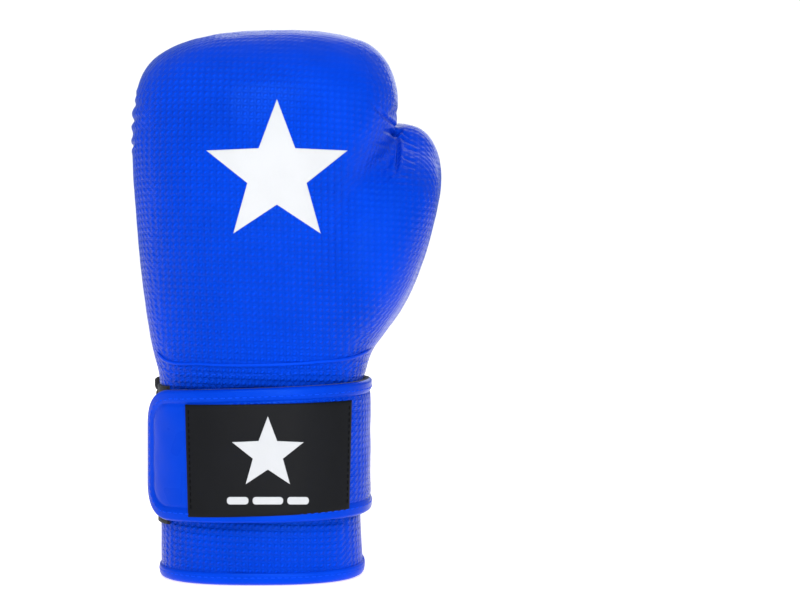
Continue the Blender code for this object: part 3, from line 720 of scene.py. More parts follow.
def palm_at(x, z):
    """Place and normal on the palm side, under a line of sight along Y."""
    hit, normal, _, _ = whole_tree.ray_cast(Vector(to_metres([x, 300.0, z])), Vector((0, -1, 0)))
    if hit is None:
        return None
    return from_metres(hit), np.array(-normal if normal.y < 0 else normal)


def smooth_line(points, step):
    """Even (x, z) places along a smooth line through points."""
    points = np.array(points, float)
    run = run_along(points)
    t = np.linspace(0, run[-1], max(3, int(run[-1] / step)))
    return zip(smooth_through(run, points[:, 0], t), smooth_through(run, points[:, 1], t))


def gathered(found):
    """Places and evened normals of those that were found."""
    place, normal = (np.array(part) for part in zip(*[f for f in found if f is not None]))
    return place, even(normal)


def even(normal, rounds=3):
    for _ in range(rounds):
        normal = normal.copy()
        normal[1:-1] = normal[:-2] + normal[1:-1] + normal[2:]
        normal = unit(normal)
    return normal


def palm_line(points, step=1.5):
    """Even places and normals along a line in (x, z) on the palm side."""
    return gathered(palm_at(x, z) for x, z in smooth_line(points, step))


def smooth_through(at, values, where):
    """Catmull-Rom through values."""
    m = np.gradient(values, at)
    i = np.clip(np.searchsorted(at, where, side="right") - 1, 0, len(at) - 2)
    h = at[i + 1] - at[i]
    t = (where - at[i]) / h
    return (
        (1 + 2 * t) * (1 - t) ** 2 * values[i]
        + t * (1 - t) ** 2 * h * m[i]
        + t * t * (3 - 2 * t) * values[i + 1]
        - t * t * (1 - t) * h * m[i + 1]
    )


# ------------------------------------------------------------------ trims that follow a line
def frames_along(place, normal):
    """Directions ahead, across and up at each place of a line on a surface."""
    ahead = unit(np.gradient(place, axis=0))
    across = unit(np.cross(ahead, normal))
    return ahead, across, np.cross(across, ahead)


def sweep(name, place, normal, profile, mats, taper=True):
    """Profile points are (across, up) in mm. Returns an object along the line."""
    _, across, up = frames_along(place, normal)
    profile = np.asarray(profile, float)
    rows = []
    for i in range(len(place)):
        scale = min(1.0, 0.35 + 0.65 * min(i, len(place) - 1 - i) / 2) if taper else 1.0
        rows.append(place[i] + scale * (profile[:, :1] * across[i] + profile[:, 1:] * up[i]))
    return fix_normals(make(name, rows, tube_faces(len(rows), len(profile)), mats))


def oval(width, height, sink=0.0, count=10):
    turn = np.linspace(0, 2 * np.pi, count, endpoint=False)
    return np.stack([np.cos(turn) * width / 2, np.sin(turn) * height / 2 + height / 2 - sink], axis=1)


STITCH_MARGIN, STITCH_SIDES = 0.5, 6
# A stitch's rings: (place along it, size), each as a share of the whole.
STITCH_ENDS = ((-0.5, 0.25), (-0.42, 0.8), (-0.2, 1.0), (0.2, 1.0), (0.42, 0.8), (0.5, 0.25))


def stitches(name, place, normal, mat, pitch, length, width, height):
    """Thread capsules along a line, each lying on the surface."""
    place, normal = np.asarray(place, float), np.asarray(normal, float)
    run = run_along(place)
    points, faces = [], []
    for k in range(int((run[-1] - 2 * STITCH_MARGIN) / pitch)):
        middle = STITCH_MARGIN + (k + 0.5) * pitch
        frames = []
        for share, _ in STITCH_ENDS:
            at = middle + share * length
            p, q = (np.array([np.interp(at, run, v[:, j]) for j in range(3)]) for v in (place, normal))
            frames.append((p, unit(q)))
        ahead = unit(frames[-1][0] - frames[0][0])
        faces += tube_faces(len(STITCH_ENDS), STITCH_SIDES, len(points))
        for (p, q), (share, size) in zip(frames, STITCH_ENDS):
            side = unit(np.cross(ahead, q))
            lift = -0.25 * height * (abs(share) > 0.45)
            for j in range(STITCH_SIDES):
                turn = 2 * math.pi * j / STITCH_SIDES
                out, up = math.cos(turn) * width / 2 * size, math.sin(turn) * height / 2 * size
                points.append(p + side * out + q * (up + lift))
    return fix_normals(make(name, points, faces, [mat]))


def offset_line(place, normal, amount, lift=0.0):
    """The same line moved sideways on its surface."""
    return place + frames_along(place, normal)[1] * amount + normal * lift, normal


# ------------------------------------------------------------------ camera
CAMERA = np.array([75.6, -683.45, 151.7])
FRAME_WIDTH = 447.2  # how much of the glove's middle plane the camera takes in
SENSOR = 36.0


def sight(x, z):
    """Direction from the camera through a place on the glove's middle plane."""
    return np.array([x, 0.0, z]) - CAMERA


def behind(tree, x, z):
    """Place and normal on a surface behind a place on the middle plane."""
    hit, normal, _, _ = tree.ray_cast(Vector(to_metres(CAMERA)), Vector(sight(x, z)).normalized())
    return None if hit is None else (from_metres(hit), np.array(normal))


def seen(points):
    """Places and normals on the skin behind a smooth line through (x, z) points on the middle plane."""
    return gathered(behind(whole_tree, x, z) for x, z in smooth_line(points, 1.5))


# ------------------------------------------------------------------ the skin, split into mitt and thumb
skin, thumb_tree, hand_tree, roll_tree = make_skin()
refine(skin, near_thumb_folds)
shape_skin(skin)


def skin_emboss(co, facing):
    """How deep the moulded pattern is: it fades over the knuckles, at the sides and inside the thumb."""
    x, y, z = co.T
    back = facing[:, 1] < 0.1
    amount = np.where(back, 1 - 0.8 * ease(244, 280, z), 1 - 0.6 * ease(256, 286, z))
    amount = amount * np.where(back, 1 - 0.6 * ease(28, 60, x + 0.25 * (z - 200)), 1.0)
    amount = amount * np.where(back, 1 - 0.25 * ease(62, 74, x), 1.0)
    amount = amount * np.where(back, 1 - 0.4 * ease(48, 68, -x), 1.0)
    inner = ease(49, 52, x) * (1 - ease(-1.0, 1.0, x - np.interp(z, PUCKER_Z, PUCKER_X)))
    inner *= (y > 12) * (1 - ease(200, 212, z))
    return amount * (1 - 0.85 * inner)


RIM_DEPTH = 10.0  # how far the skin's edges turn in where the hand and the thumb part


def on_thumb(co, faces):
    """Whether each face is the thumb's: it is nearer to the thumb's form than to the others, evened out."""
    lead = nearest(thumb_tree, co) - np.minimum(nearest(hand_tree, co), nearest(roll_tree, co))
    ends, others = np.concatenate([edges_of(skin), edges_of(skin)[:, ::-1]]).T
    shared = np.maximum(np.bincount(ends, minlength=len(co)), 1)
    for _ in range(40):
        lead = 0.5 * lead + 0.5 * np.bincount(ends, lead[others], len(co)) / shared
    lead = np.array([lead[list(f)].mean() for f in faces])
    middle = np.array([co[list(f)].mean(axis=0) for f in faces])
    return (lead < 0) & (middle[:, 0] > 45) & (middle[:, 2] > 116)


def border_of(faces):
    """The edges that only one face has, in that face's direction."""
    once = {}
    for f in faces:
        for a, b in zip(f, f[1:] + f[:1]):
            key = (min(a, b), max(a, b))
            once[key] = None if key in once else (a, b)
    return [e for e in once.values() if e is not None]


def skin_part(name, kept, co, facing, emboss):
    """One part of the skin, with the whole skin's normals and a rim inwards."""
    used = np.unique(np.concatenate([np.array(f) for f in kept]))
    index = np.full(len(co), -1)
    index[used] = np.arange(len(used))
    chosen = [tuple(int(index[v]) for v in f) for f in kept]
    points, facing, amount = co[used], facing[used], emboss[used]
    border = border_of(chosen)
    rim = {v: len(points) + k for k, v in enumerate(sorted({v for e in border for v in e}))}
    outline = np.array(list(rim), int)
    chain = np.array([(rim[a], rim[b]) for a, b in border]) - len(points)
    inwards = unit(relax(facing[outline], chain, np.ones(len(outline)), 60))
    sunk = relax(points[outline] - inwards * RIM_DEPTH, chain, np.ones(len(outline)), 20)
    flaps = [(b, a, rim[a], rim[b]) for a, b in border]
    whole, ways = np.concatenate([points, sunk]), np.concatenate([facing, facing[outline]])
    piece = make(name, whole, chosen + flaps, [EMBOSSED])
    attribute(piece, "rest", whole * 0.001)
    attribute(piece, "facing", ways)
    attribute(piece, "emboss", np.concatenate([amount, amount[outline] * 0]))
    piece.data.normals_split_custom_set_from_vertices(ways.tolist())
    return piece


def split_skin():
    """The hand's part and the thumb's part of the skin."""
    co, facing = coords(skin), normals(skin)
    faces = [tuple(p.vertices) for p in skin.data.polygons]
    thumbs = on_thumb(co, faces)
    emboss = skin_emboss(co, facing)
    return [
        skin_part(name, [f for f, is_thumb in zip(faces, thumbs) if is_thumb == wanted], co, facing, emboss)
        for name, wanted in (("mitt_skin", False), ("thumb_skin", True))
    ]


cut_below(skin, CUFF_TOP)
whole_tree = bvh_of(skin)
mitt_skin, thumb_skin = split_skin()
bpy.data.objects.remove(skin)

trims = {"mitt": [], "thumb": []}


def trim(body, obj, emboss=0.0):
    trims[body].append(remember(obj, emboss))


def star(reach):
    """Outline of a five-pointed star in (x, z) about its middle, with its notches at 0.42 of its reach."""
    out = []
    for k in range(10):
        a, b = (math.radians(90 + 36 * j) for j in (k, k + 1))
        r0, r1 = (reach, reach * 0.42) if k % 2 == 0 else (reach * 0.42, reach)
        p, q = np.array([r0 * math.cos(a), r0 * math.sin(a)]), np.array([r1 * math.cos(b), r1 * math.sin(b)])
        out += [p + (q - p) * t for t in np.linspace(0, 1, 12, endpoint=False)]
    return np.array(out)


def printed(name, outline, at, lift=0.35, rings=14):
    """Thin raised print over a surface. at(x, z) gives place and normal for each point."""
    levels = np.concatenate([np.linspace(0.04, 0.95, rings), [0.985, 1.0, 1.0]])
    heights = np.concatenate([np.full(rings, lift), [lift * 0.8, lift * 0.3, -0.4]])
    points = []
    for level, height in zip(levels, heights):
        for u, v in outline:
            place, normal = at(u * level, v * level)
            points.append(place + normal * height)
    faces = grid_faces(len(levels), len(outline), wrap_cols=True) + [tuple(range(len(outline)))[::-1]]
    return fix_normals(make(name, points, faces, [WHITE]))


def on_skin(x, z):
    """Maps offsets from a place on the middle plane to the skin behind it."""

    def at(u, v):
        return behind(whole_tree, x + u, z + v)

    return at


# Print on the back of the fist.
fist_star = remember(printed("fist_star", star(41.5), on_skin(6.8, 220.5)), 0.0)

# Seam between the cuff and the mitt on the back, and the stitched line under it.
yoke_line = ((-60.2, 120.7), (-57, 117.3), (-34, 114), (-3, 113.4), (28, 115), (53, 119), (59.4, 122.4))
place, normal = seen(yoke_line)
trim("mitt", sweep("yoke_seam", place, normal, oval(1.9, 1.3, 0.35), [SMOOTH]))
place, normal = seen([(x, z - 5.6) for x, z in yoke_line])
trim("mitt", stitches("yoke_stitches", place, normal, BLUE_THREAD, 3.6, 2.5, 0.7, 0.45))

# Palm side, in (x, z): seams, stitch rows, piping.
PALM_LINES = (
    ("palm_gusset", ((41, 199), (43.5, 185), (46, 168), (47.5, 150), (47, 134)), 1.5, False),
    ("palm_cross_low", ((-50, 120), (-25, 121), (0, 121.5), (25, 121), (46, 119)), 1.2, True),
    ("palm_cross_high", ((-56, 153), (-30, 155), (-15, 155.5)), 1.2, True),
    ("palm_cross_high_thumb", ((23, 155.5), (36, 155), (45, 153)), 1.2, True),
)
for name, line, width, stitched in PALM_LINES:
    place, normal = palm_line(line)
    trim("mitt", sweep(name, place, normal, oval(width, 0.8, 0.25), [SMOOTH]))
    if stitched:
        place, normal = palm_line([(x, z + 3.2) for x, z in line])
        trim("mitt", stitches(name + "_stitches", place, normal, BLUE_THREAD, 3.4, 2.4, 0.65, 0.4))
for name, line in (
    ("thumb_piping", ((50.5, 204), (51.5, 190), (52.5, 172), (54.5, 152), (56.5, 136), (58, 124))),
    ("thumb_seam", tuple((x, z) for z, x in zip(PUCKER_Z, PUCKER_X))),
):
    place, normal = palm_line(line)
    body = "mitt" if name == "thumb_piping" else "thumb"
    width = 2.4 if name == "thumb_piping" else 1.4
    trim(body, sweep(name, place, normal, oval(width, width * 0.8, 0.4), [SMOOTH]))
    row, ways = offset_line(place, normal, 2.6 if body == "mitt" else -2.0, 0.1)
    trim(body, stitches(name + "_stitches", row, ways, BLUE_THREAD, 3.0, 2.1, 0.6, 0.4))

# Reinforcement round the top of the slit: a raised arch with two stitch rows.
SLIT = ((2.5, 163), (2.0, 150), (1.2, 130), (0.5, 112), (-0.3, 100), (-0.5, 0))


ARCH_MIDDLE, ARCH_FLATNESS = 2.3, 0.62
SLIT_TAPE_REACH, SLIT_TAPE_TOP, SLIT_TAPE_RISE = 3.15, 160.5, 4.0


def slit_x(z):
    return np.interp(z, [p[1] for p in SLIT[::-1]], [p[0] for p in SLIT[::-1]])


def round_slit(reach, heights, top):
    """Up one side of the slit at these heights, through the points of a top and down the other side."""
    up = [(slit_x(z) - reach, z) for z in heights]
    down = [(slit_x(z) + reach, z) for z in heights[::-1]]
    return up + top + down


def arch(reach, top):
    rise = reach * ARCH_FLATNESS
    turns = np.linspace(0, math.pi, 25)
    curve = [(ARCH_MIDDLE - reach * math.cos(a), top - rise + rise * math.sin(a)) for a in turns]
    return round_slit(reach, (108, 125, 145), curve)


for k, (reach, top) in enumerate(((20.0, 177.0), (15.5, 171.5))):
    place, normal = palm_line(arch(reach, top), 1.2)
    if k == 0:
        trim("mitt", sweep("slit_arch", place, normal, oval(1.6, 0.9, 0.3), [SMOOTH]))
    inner, normal = offset_line(place, normal, 2.2 if k == 0 else 0.0)
    trim("mitt", stitches(f"slit_arch_stitches_{k}", inner, normal, BLUE_THREAD, 3.3, 2.4, 0.65, 0.42))

# Vents: steel rims with a dark hole, in (radius, height). Each hole is closed 0.5 mm down by the black lining
# material, as painted shade for the depth of the hole.
VENT_SECTION = ((2.3, -0.3), (2.25, 0.25), (1.9, 0.5), (1.55, 0.45), (1.35, 0.2), (1.25, -0.5), (0.01, -0.5))
for k, x in enumerate((-3.0, 17.5)):
    place, normal = palm_at(x, 196.5)
    across = unit(np.cross(normal, [0, 0, 1.0]))
    up = np.cross(across, normal)
    turns = np.linspace(0, 2 * np.pi, 28, endpoint=False)
    ring = [across * math.cos(t) + up * math.sin(t) for t in turns]
    rows = [[place + normal * h + way * r for way in ring] for r, h in VENT_SECTION]
    faces = grid_faces(len(rows), len(ring), wrap_cols=True)
    rim = fix_normals(make(f"vent_rim_{k}", rows, faces, [STEEL, LINING]))
    # The hole's floor takes the black lining: painted shade for the depth of the hole.
    for polygon in rim.data.polygons:
        from_floor = from_metres(polygon.center) - (place - normal * 0.5)
        polygon.material_index = int(np.linalg.norm(from_floor) < 1.0)
    trim("mitt", rim)

# Tab that ties the thumb's tip to the fist.
fist_end, fist_normal = palm_at(65.5, 257.0)
thumb_end, thumb_normal = palm_at(74.5, 246.0)
bridge = np.array([fist_end + (thumb_end - fist_end) * t for t in np.linspace(0, 1, 14)])
mean = unit(fist_normal + thumb_normal)
bridge += mean * (0.5 * np.sin(np.linspace(0, np.pi, 14)) + 0.3)[:, None]
lock = sweep("thumb_lock_tab", bridge, np.tile(mean, (14, 1)), oval(6.5, 1.6, 0.8, 14), [SMOOTH], taper=False)
thumb_lock = remember(lock, 0.0)

# ------------------------------------------------------------------ cuff: back, two flaps, bindings

def cuff_point(side, share, z, depth):
    """Cuff wall: share 0 at the pinky side, depth inwards."""
    table = BACK if side < 0 else PALM
    left, right, far = along(PINKY, z) + 0.5 + depth, along(THUMB_SIDE, z) - 0.5 - depth, along(table, z)
    swell = 0.7 * np.exp(-(((z - 18) / 12.0) ** 2)) - 1.0 * ease(28, 36, z) * (1 - ease(100, 106, z))
    far = far - side * (depth + 0.6) + side * swell
    c, s = arc(share)
    x = (left + right) / 2 - (right - left) / 2 * c
    return np.stack([x, SEAM_Y + (far - SEAM_Y) * s, np.broadcast_to(z, np.shape(x)) * 1.0], axis=-1)


def shell(name, outer, inner, mats):
    """Closed slab between two equal grids of points. The inner grid and the rim take the last material."""
    outer, inner = np.asarray(outer, float), np.asarray(inner, float)
    n, m = outer.shape[:2]
    points = np.concatenate([outer.reshape(-1, 3), inner.reshape(-1, 3)])
    front = grid_faces(n, m)
    faces = front + [tuple(v + n * m for v in f[::-1]) for f in front]
    rim = [i * m for i in range(n)] + [(n - 1) * m + j for j in range(1, m)]
    rim += [i * m + m - 1 for i in range(n - 2, -1, -1)] + [j for j in range(m - 2, 0, -1)]
    for a, b in zip(rim, rim[1:] + rim[:1]):
        faces.append((a, b, b + n * m, a + n * m))
    made = make(name, points, faces, mats)
    index = np.zeros(len(faces), int)
    index[len(front):] = len(mats) - 1
    made.data.polygons.foreach_set("material_index", index)
    return edited(made, face_outwards)


WALL = 5.0
HEIGHTS = np.concatenate([np.linspace(0.4, 34, 22), np.linspace(38, 96, 12), np.linspace(98, 112, 9)])
shares = np.linspace(0, 1, 91)
FLAP_RADIUS = 19.0


def waved(grid, side):
    flat = grid.reshape(-1, 3)
    out = flat.copy()
    out[:, 1] += side * (0.25 * waves(flat, 22, 11) + 0.12 * waves(flat, 9, 12))
    return out.reshape(grid.shape)


back_outer = waved(np.array([cuff_point(-1, shares, z, 0) for z in HEIGHTS]), -1)
back_inner = np.array([cuff_point(-1, shares, z, WALL) for z in HEIGHTS])
cuff_back = remember(shell("cuff_back", back_outer, back_inner, [EMBOSSED, LINING]), 0.9)

shares = np.linspace(0.004, 0.2, 24)
rows = np.linspace(29.5, 103.5, 40)
elastic = shell("elastic", [cuff_point(-1, shares, z, -1.7) for z in rows],
                [cuff_point(-1, shares, z, -0.5) for z in rows], [ELASTIC])


def flap_low(distance):
    d = np.clip(distance, 0, FLAP_RADIUS)
    return FLAP_RADIUS - np.sqrt(np.clip(FLAP_RADIUS**2 - (FLAP_RADIUS - d) ** 2, 0, None))


flaps, flap_paths = {}, {}
for side, title in ((-1, "pinky"), (1, "thumb")):
    round_corner = FLAP_RADIUS * (1 - np.cos(np.linspace(0.0, np.pi / 2, 16)))
    distance = np.concatenate([round_corner, np.linspace(21, 75, 34)])
    low = flap_low(distance)
    grid_out, grid_in = [], []
    for t in np.linspace(0, 1, 44):
        z = low + (111.5 - low) * t
        share = 0.5 + side * np.clip(distance + 0.5, 0, 75) / 150.0
        rows = [np.array([cuff_point(1, s, zz, d) for s, zz in zip(share, z)]) for d in (0, WALL)]
        grid_out.append(rows[0])
        grid_in.append(rows[1])
    grid_out = waved(np.array(grid_out), 1)
    flaps[title] = remember(shell(f"cuff_flap_{title}", grid_out, np.array(grid_in), [EMBOSSED, LINING]), 0.9)
    path = [(d, 0.0) for d in np.linspace(75, FLAP_RADIUS, 26)[:-1]]
    path += [
        (FLAP_RADIUS - FLAP_RADIUS * math.sin(a), FLAP_RADIUS - FLAP_RADIUS * math.cos(a))
        for a in np.linspace(0, math.pi / 2, 16)
    ]
    path += [(0.0, z) for z in np.linspace(FLAP_RADIUS, 103, 40)[1:]]
    flap_paths[title] = (side, path)

# A folded tape: across the edge and round it, (inwards from the edge, outwards from the wall).
TAPE_SECTION = ((5.9, 0.15), (5.6, 0.75), (4.6, 1.0), (2.6, 1.05), (1.0, 0.85), (-0.2, 0.1), (-0.9, -1.2),
                (-1.05, -2.6), (-0.8, -4.0), (0.0, -5.2), (1.2, -5.9), (3.0, -6.1), (5.0, -6.0),
                (5.6, -5.6), (5.8, -5.0), (5.8, -2.5))


def tape(name, place, normal, inward):
    """The tape along an edge, and its row of stitches."""
    place, normal, inward = (np.asarray(v, float) for v in (place, normal, inward))
    rows = [[p + q * a + n * b for a, b in TAPE_SECTION] for p, n, q in zip(place, normal, inward)]
    row = place + inward * 3.4 + normal * 1.0
    return [
        loft(name, rows, [SMOOTH]),
        stitches(name + "_stitches", row, normal, BLUE_THREAD, 3.6, 2.5, 0.7, 0.42),
    ]


def wall_normal(side, share, z):
    a, b = cuff_point(side, share - 0.004, z, 0), cuff_point(side, share + 0.004, z, 0)
    ahead = (b - a) / np.linalg.norm(b - a)
    out = np.array([ahead[1], -ahead[0], 0.0])
    return out if out[1] * side > 0 or abs(out[1]) < 0.2 and out[0] * (share - 0.5) > 0 else -out


hem_shares = np.linspace(0.0, 1.0, 110)
place = np.array([cuff_point(-1, s, 0.0, 0) for s in hem_shares])
normal = np.array([wall_normal(-1, min(max(s, 0.004), 0.996), 0.0) for s in hem_shares])
hem = [remember(o, 0.0) for o in tape("hem_tape", place, normal, np.tile([0, 0, 1.0], (110, 1)))]
hem_binding = join("hem_binding", hem)

flap_tapes = {}
for title, (side, path) in flap_paths.items():
    place, normal, inward = [], [], []
    steps = np.array(path)
    ahead = np.gradient(steps, axis=0)
    for (d, z), (dd, dz) in zip(path, ahead):
        share = 0.5 + side * min(74.4, d + 0.5) / 150.0
        p = cuff_point(1, share, z, 0)
        n = wall_normal(1, share, z)
        along_ring = cuff_point(1, share + side * 0.004, z, 0) - p
        along_ring /= np.linalg.norm(along_ring)
        length = math.hypot(dd, dz)
        # Left of the way from the side seam towards the slit and up it is the flap's inside.
        inside = along_ring * (dz / length) + np.array([0, 0, 1.0]) * (-dd / length)
        place.append(p)
        normal.append(n)
        inward.append(inside / np.linalg.norm(inside))
    pieces = tape(f"flap_tape_{title}", place, even(np.array(normal)), inward)
    flap_tapes[title] = [remember(o, 0.0) for o in pieces]

# The slit's bound edge above the strap, up one side, round the top and down the other.
curve = [
    (2.4 - SLIT_TAPE_REACH * math.cos(a), SLIT_TAPE_TOP + SLIT_TAPE_RISE * math.sin(a))
    for a in np.linspace(0.1, math.pi - 0.1, 9)
]
line = round_slit(SLIT_TAPE_REACH, (106, 115, 125, 135, 145, 153), curve)
place, normal = palm_line(line, 0.9)
normal = even(normal, 8)
section = ((-2.95, -1.2), (-3.05, 0.3), (-2.6, 1.2), (-1.3, 1.75), (1.3, 1.75), (2.6, 1.2), (3.05, 0.3),
           (2.95, -1.2))
trim("mitt", sweep("slit_tape", place, normal, np.array(section), [SMOOTH]))
row, normal = offset_line(place, normal, 1.5, 1.5)
trim("mitt", stitches("slit_tape_stitches", row, normal, BLUE_THREAD, 3.4, 2.4, 0.65, 0.42))


# ------------------------------------------------------------------ strap
def strap_path():
    """Plan of the strap's inner face, from the pinky side over the palm and round to the back."""
    c, s = arc(np.linspace(0.012, 1.0, 240))
    palm = np.stack([(-57.8 + 55.6) / 2 - (55.6 + 57.8) / 2 * c, 37.9 * s], axis=1)
    c, s = arc(np.linspace(1.0, 0.118, 240)[1:])
    back = np.stack([(-61 + 55.6) / 2 - (55.6 + 61) / 2 * c, -42.9 * s], axis=1)
    line = np.concatenate([palm, back])
    run = run_along(line)
    even_run = np.arange(0, run[-1], 0.5)
    line = np.stack([np.interp(even_run, run, line[:, k]) for k in (0, 1)], axis=1)
    for _ in range(8):
        line[1:-1] = (line[:-2] + 2 * line[1:-1] + line[2:]) / 4
    ahead = unit(np.gradient(line, axis=0))
    return even_run, line, np.stack([-ahead[:, 1], ahead[:, 0]], axis=1)


RUN, PLAN, PLAN_OUT = strap_path()
if PLAN_OUT[len(RUN) // 4, 1] < 0:
    PLAN_OUT = -PLAN_OUT
LENGTH = RUN[-1]
FOLD = RUN[np.argmin(abs(PLAN[:, 0] - 55.6) + abs(PLAN[:, 1]))]
THICK, ROUND = 3.4, 19.0


def strap_at(run, z, out):
    """Point at a distance along the strap, a height and an offset from its inner face."""
    x, y = np.interp(run, RUN, PLAN[:, 0]), np.interp(run, RUN, PLAN[:, 1])
    nx, ny = np.interp(run, RUN, PLAN_OUT[:, 0]), np.interp(run, RUN, PLAN_OUT[:, 1])
    return np.stack([x + nx * out, y + ny * out, np.broadcast_to(z, np.shape(x)) * 1.0], axis=-1)


def strap_normal(run):
    nx, ny = np.interp(run, RUN, PLAN_OUT[:, 0]), np.interp(run, RUN, PLAN_OUT[:, 1])
    return unit(np.stack([nx, ny, np.zeros_like(nx)], axis=-1))


def strap_edges(run):
    """Heights of the strap's straight edges, which draw together along the tab."""
    past = np.clip((run - FOLD) / (LENGTH - FOLD), 0, 1)
    return 34.0 - 1.0 * past, 106.6 - 5.0 * past


def strap_span(run):
    """Lower and upper edge of the strap at a distance along it, with the rounded corners."""
    low, high = strap_edges(run)
    d = np.clip(LENGTH - run, 0, ROUND)
    cut = ROUND - np.sqrt(np.clip(ROUND**2 - (ROUND - d) ** 2, 0, None))
    return low + cut, high - cut


def edge_distance(run, z):
    """Distance in mm from the strap's outline, which has two rounded corners at the tab's end."""
    low, high = strap_edges(run)
    a, b = LENGTH - run, np.minimum(z - low, high - z)
    corner = ROUND - np.sqrt(np.clip(ROUND - a, 0, None) ** 2 + np.clip(ROUND - b, 0, None) ** 2)
    return np.where((a < ROUND) & (b < ROUND), corner, np.minimum(a, b))


def strap_height(run, z):
    """How far the strap's outer face stands off its inner one."""
    d = edge_distance(run, z)
    binding = THICK + 0.9 - 1.5 * np.clip(1 - d / 1.6, 0, 1) ** 2 - 0.55 * ease(4.6, 6.9, d)
    groove = -0.55 * np.exp(-(((d - 7.2) / 0.55) ** 2))
    cover = THICK + 0.25 * (1 - np.exp(-np.clip(d - 7.2, 0, None) / 3.0))
    return np.where(d < 7.0, binding, cover) + groove


def make_strap():
    stations = np.concatenate([
        np.linspace(0, LENGTH - 22, int((LENGTH - 22) / 2.0))[:-1],
        LENGTH - ROUND * (1 - np.cos(np.linspace(np.pi / 2, 0, 30))) * 1.12,
    ])
    stations = np.unique(np.clip(stations, 0, LENGTH))
    binding = np.concatenate([np.linspace(0, 1.6, 4), np.linspace(2.2, 6.2, 6)])
    lines = np.concatenate([binding, [6.7, 7.2, 7.7, 8.4, 9.4]]) / 72.0
    lines = np.concatenate([lines, np.linspace(11 / 72, 1 - 11 / 72, 26), 1 - lines[::-1]])
    outer, inner = [], []
    for run in stations:
        low, high = strap_span(run)
        z = low + (high - low) * lines
        run_row = np.full_like(z, run)
        outer.append(strap_at(run_row, z, strap_height(run_row, z)))
        inner.append(strap_at(run_row, z, 0.0))
    outer = np.array(outer)
    flat = outer.reshape(-1, 3)
    inside = edge_distance(np.repeat(stations, len(lines)), flat[:, 2]) > 7.5
    wobble = (0.22 * waves(flat, 26, 21) + 0.1 * waves(flat, 10, 22)) * inside
    normal = strap_normal(np.repeat(stations, len(lines)))
    outer = (flat + normal * wobble[:, None]).reshape(outer.shape)
    made = shell("strap", outer, np.array(inner), [EMBOSSED, LINING])

    def mask(co):
        amount = np.zeros(len(co))
        runs = np.repeat(stations, len(lines))
        cover = ease(7.2, 8.2, edge_distance(runs, flat[:, 2])) * (1 - ease(FOLD + 90, FOLD + 94, runs))
        amount[: len(cover)] = cover
        return amount

    return remember(made, mask)


def strap_line(points, lift=0.0):
    """Places and normals along (run, z) points on the strap's outer face."""
    points = np.array(points, float)
    run, z = points[:, 0], points[:, 1]
    return strap_at(run, z, strap_height(run, z) + lift), strap_normal(run)


def rim_path(inset):
    """(run, z) along the strap's top edge, round the tab's end and back along the bottom."""
    radius = ROUND - inset
    straight = np.arange(2.0, LENGTH - ROUND, 1.5)
    low, high = strap_edges(straight)
    low_end, high_end = strap_edges(LENGTH)
    middle = LENGTH - ROUND
    turns = [(math.sin(a), math.cos(a)) for a in np.linspace(0, math.pi / 2, 16)]
    upper = list(zip(straight, high - inset))
    arc_up = [(middle + radius * s, high_end - ROUND + radius * c) for s, c in turns]
    arc_down = [(middle + radius * c, low_end + ROUND - radius * s) for s, c in turns]
    return upper + arc_up + arc_down + list(zip(straight, low + inset))[::-1]


strap = make_strap()
place, normal = strap_line(rim_path(4.6))
strap_stitches = remember(stitches("strap_stitches", place, normal, BLUE_THREAD, 3.8, 2.6, 0.75, 0.5), 0.0)

# A row of stitching where the strap is sewn to the cuff at the pinky side.
place, normal = strap_line([(5.0, z) for z in np.linspace(40, 100, 30)])
anchor = remember(stitches("strap_anchor_stitches", place, normal, BLUE_THREAD, 3.4, 2.4, 0.7, 0.45), 0.0)


def plan_at(x):
    """Distance along the tab at which its outer face has this x, on the back of the cuff."""
    face_x = PLAN[:, 0] + PLAN_OUT[:, 0] * (THICK + 0.9)
    back = RUN > FOLD + 6
    return np.interp(-x, -face_x[back], RUN[back])


def tab_seen(x, z):
    """(run, z) on the tab's outer face behind a place on the middle plane."""
    ray = sight(x, z)
    t = 0.93
    for _ in range(12):
        hit = CAMERA + ray * t
        run = plan_at(hit[0])
        y = strap_at(run, 0.0, THICK + 0.5)[1]
        t = (y - CAMERA[1]) / ray[1]
    hit = CAMERA + ray * t
    return float(plan_at(hit[0])), float(hit[2])


CORNERS = [tab_seen(*p) for p in ((48.8, 93.8), (-44.6, 91.3), (-42.9, 28.4), (47.4, 32.9))]


def label_point(u, v):
    """(run, z) on the label, u from its thumb side, v from its top."""
    (r0, z0), (r1, z1), (r2, z2), (r3, z3) = CORNERS
    top = np.array([r0 + (r1 - r0) * u, z0 + (z1 - z0) * u])
    low = np.array([r3 + (r2 - r3) * u, z3 + (z2 - z3) * u])
    return top + (low - top) * v


LABEL_LIFT = THICK + 0.9


def label_grid(lift, inset):
    us = np.concatenate([[0.0, 0.006, 0.014], np.linspace(0.03, 0.97, 60), [0.986, 0.994, 1.0]])
    vs = np.concatenate([[0.0, 0.008, 0.02], np.linspace(0.045, 0.955, 20), [0.98, 0.992, 1.0]])
    out = []
    for v in vs:
        row = []
        for u in us:
            run, z = label_point(u, v)
            fall = min(min(u, 1 - u) / 0.014, min(v, 1 - v) / 0.02, 1.0)
            row.append(strap_at(run, z, lift - inset * (1 - fall) ** 2))
        out.append(row)
    return np.array(out)


label = remember(
    shell("strap_label", label_grid(LABEL_LIFT + 0.45, 0.5), label_grid(THICK - 0.1, 0.0), [LABEL]), 0.0
)


def on_label(x, z):
    def at(u, v):
        run, height = tab_seen(x + u, z + v)
        return strap_at(run, height, LABEL_LIFT + 0.42), strap_normal(run)

    return at


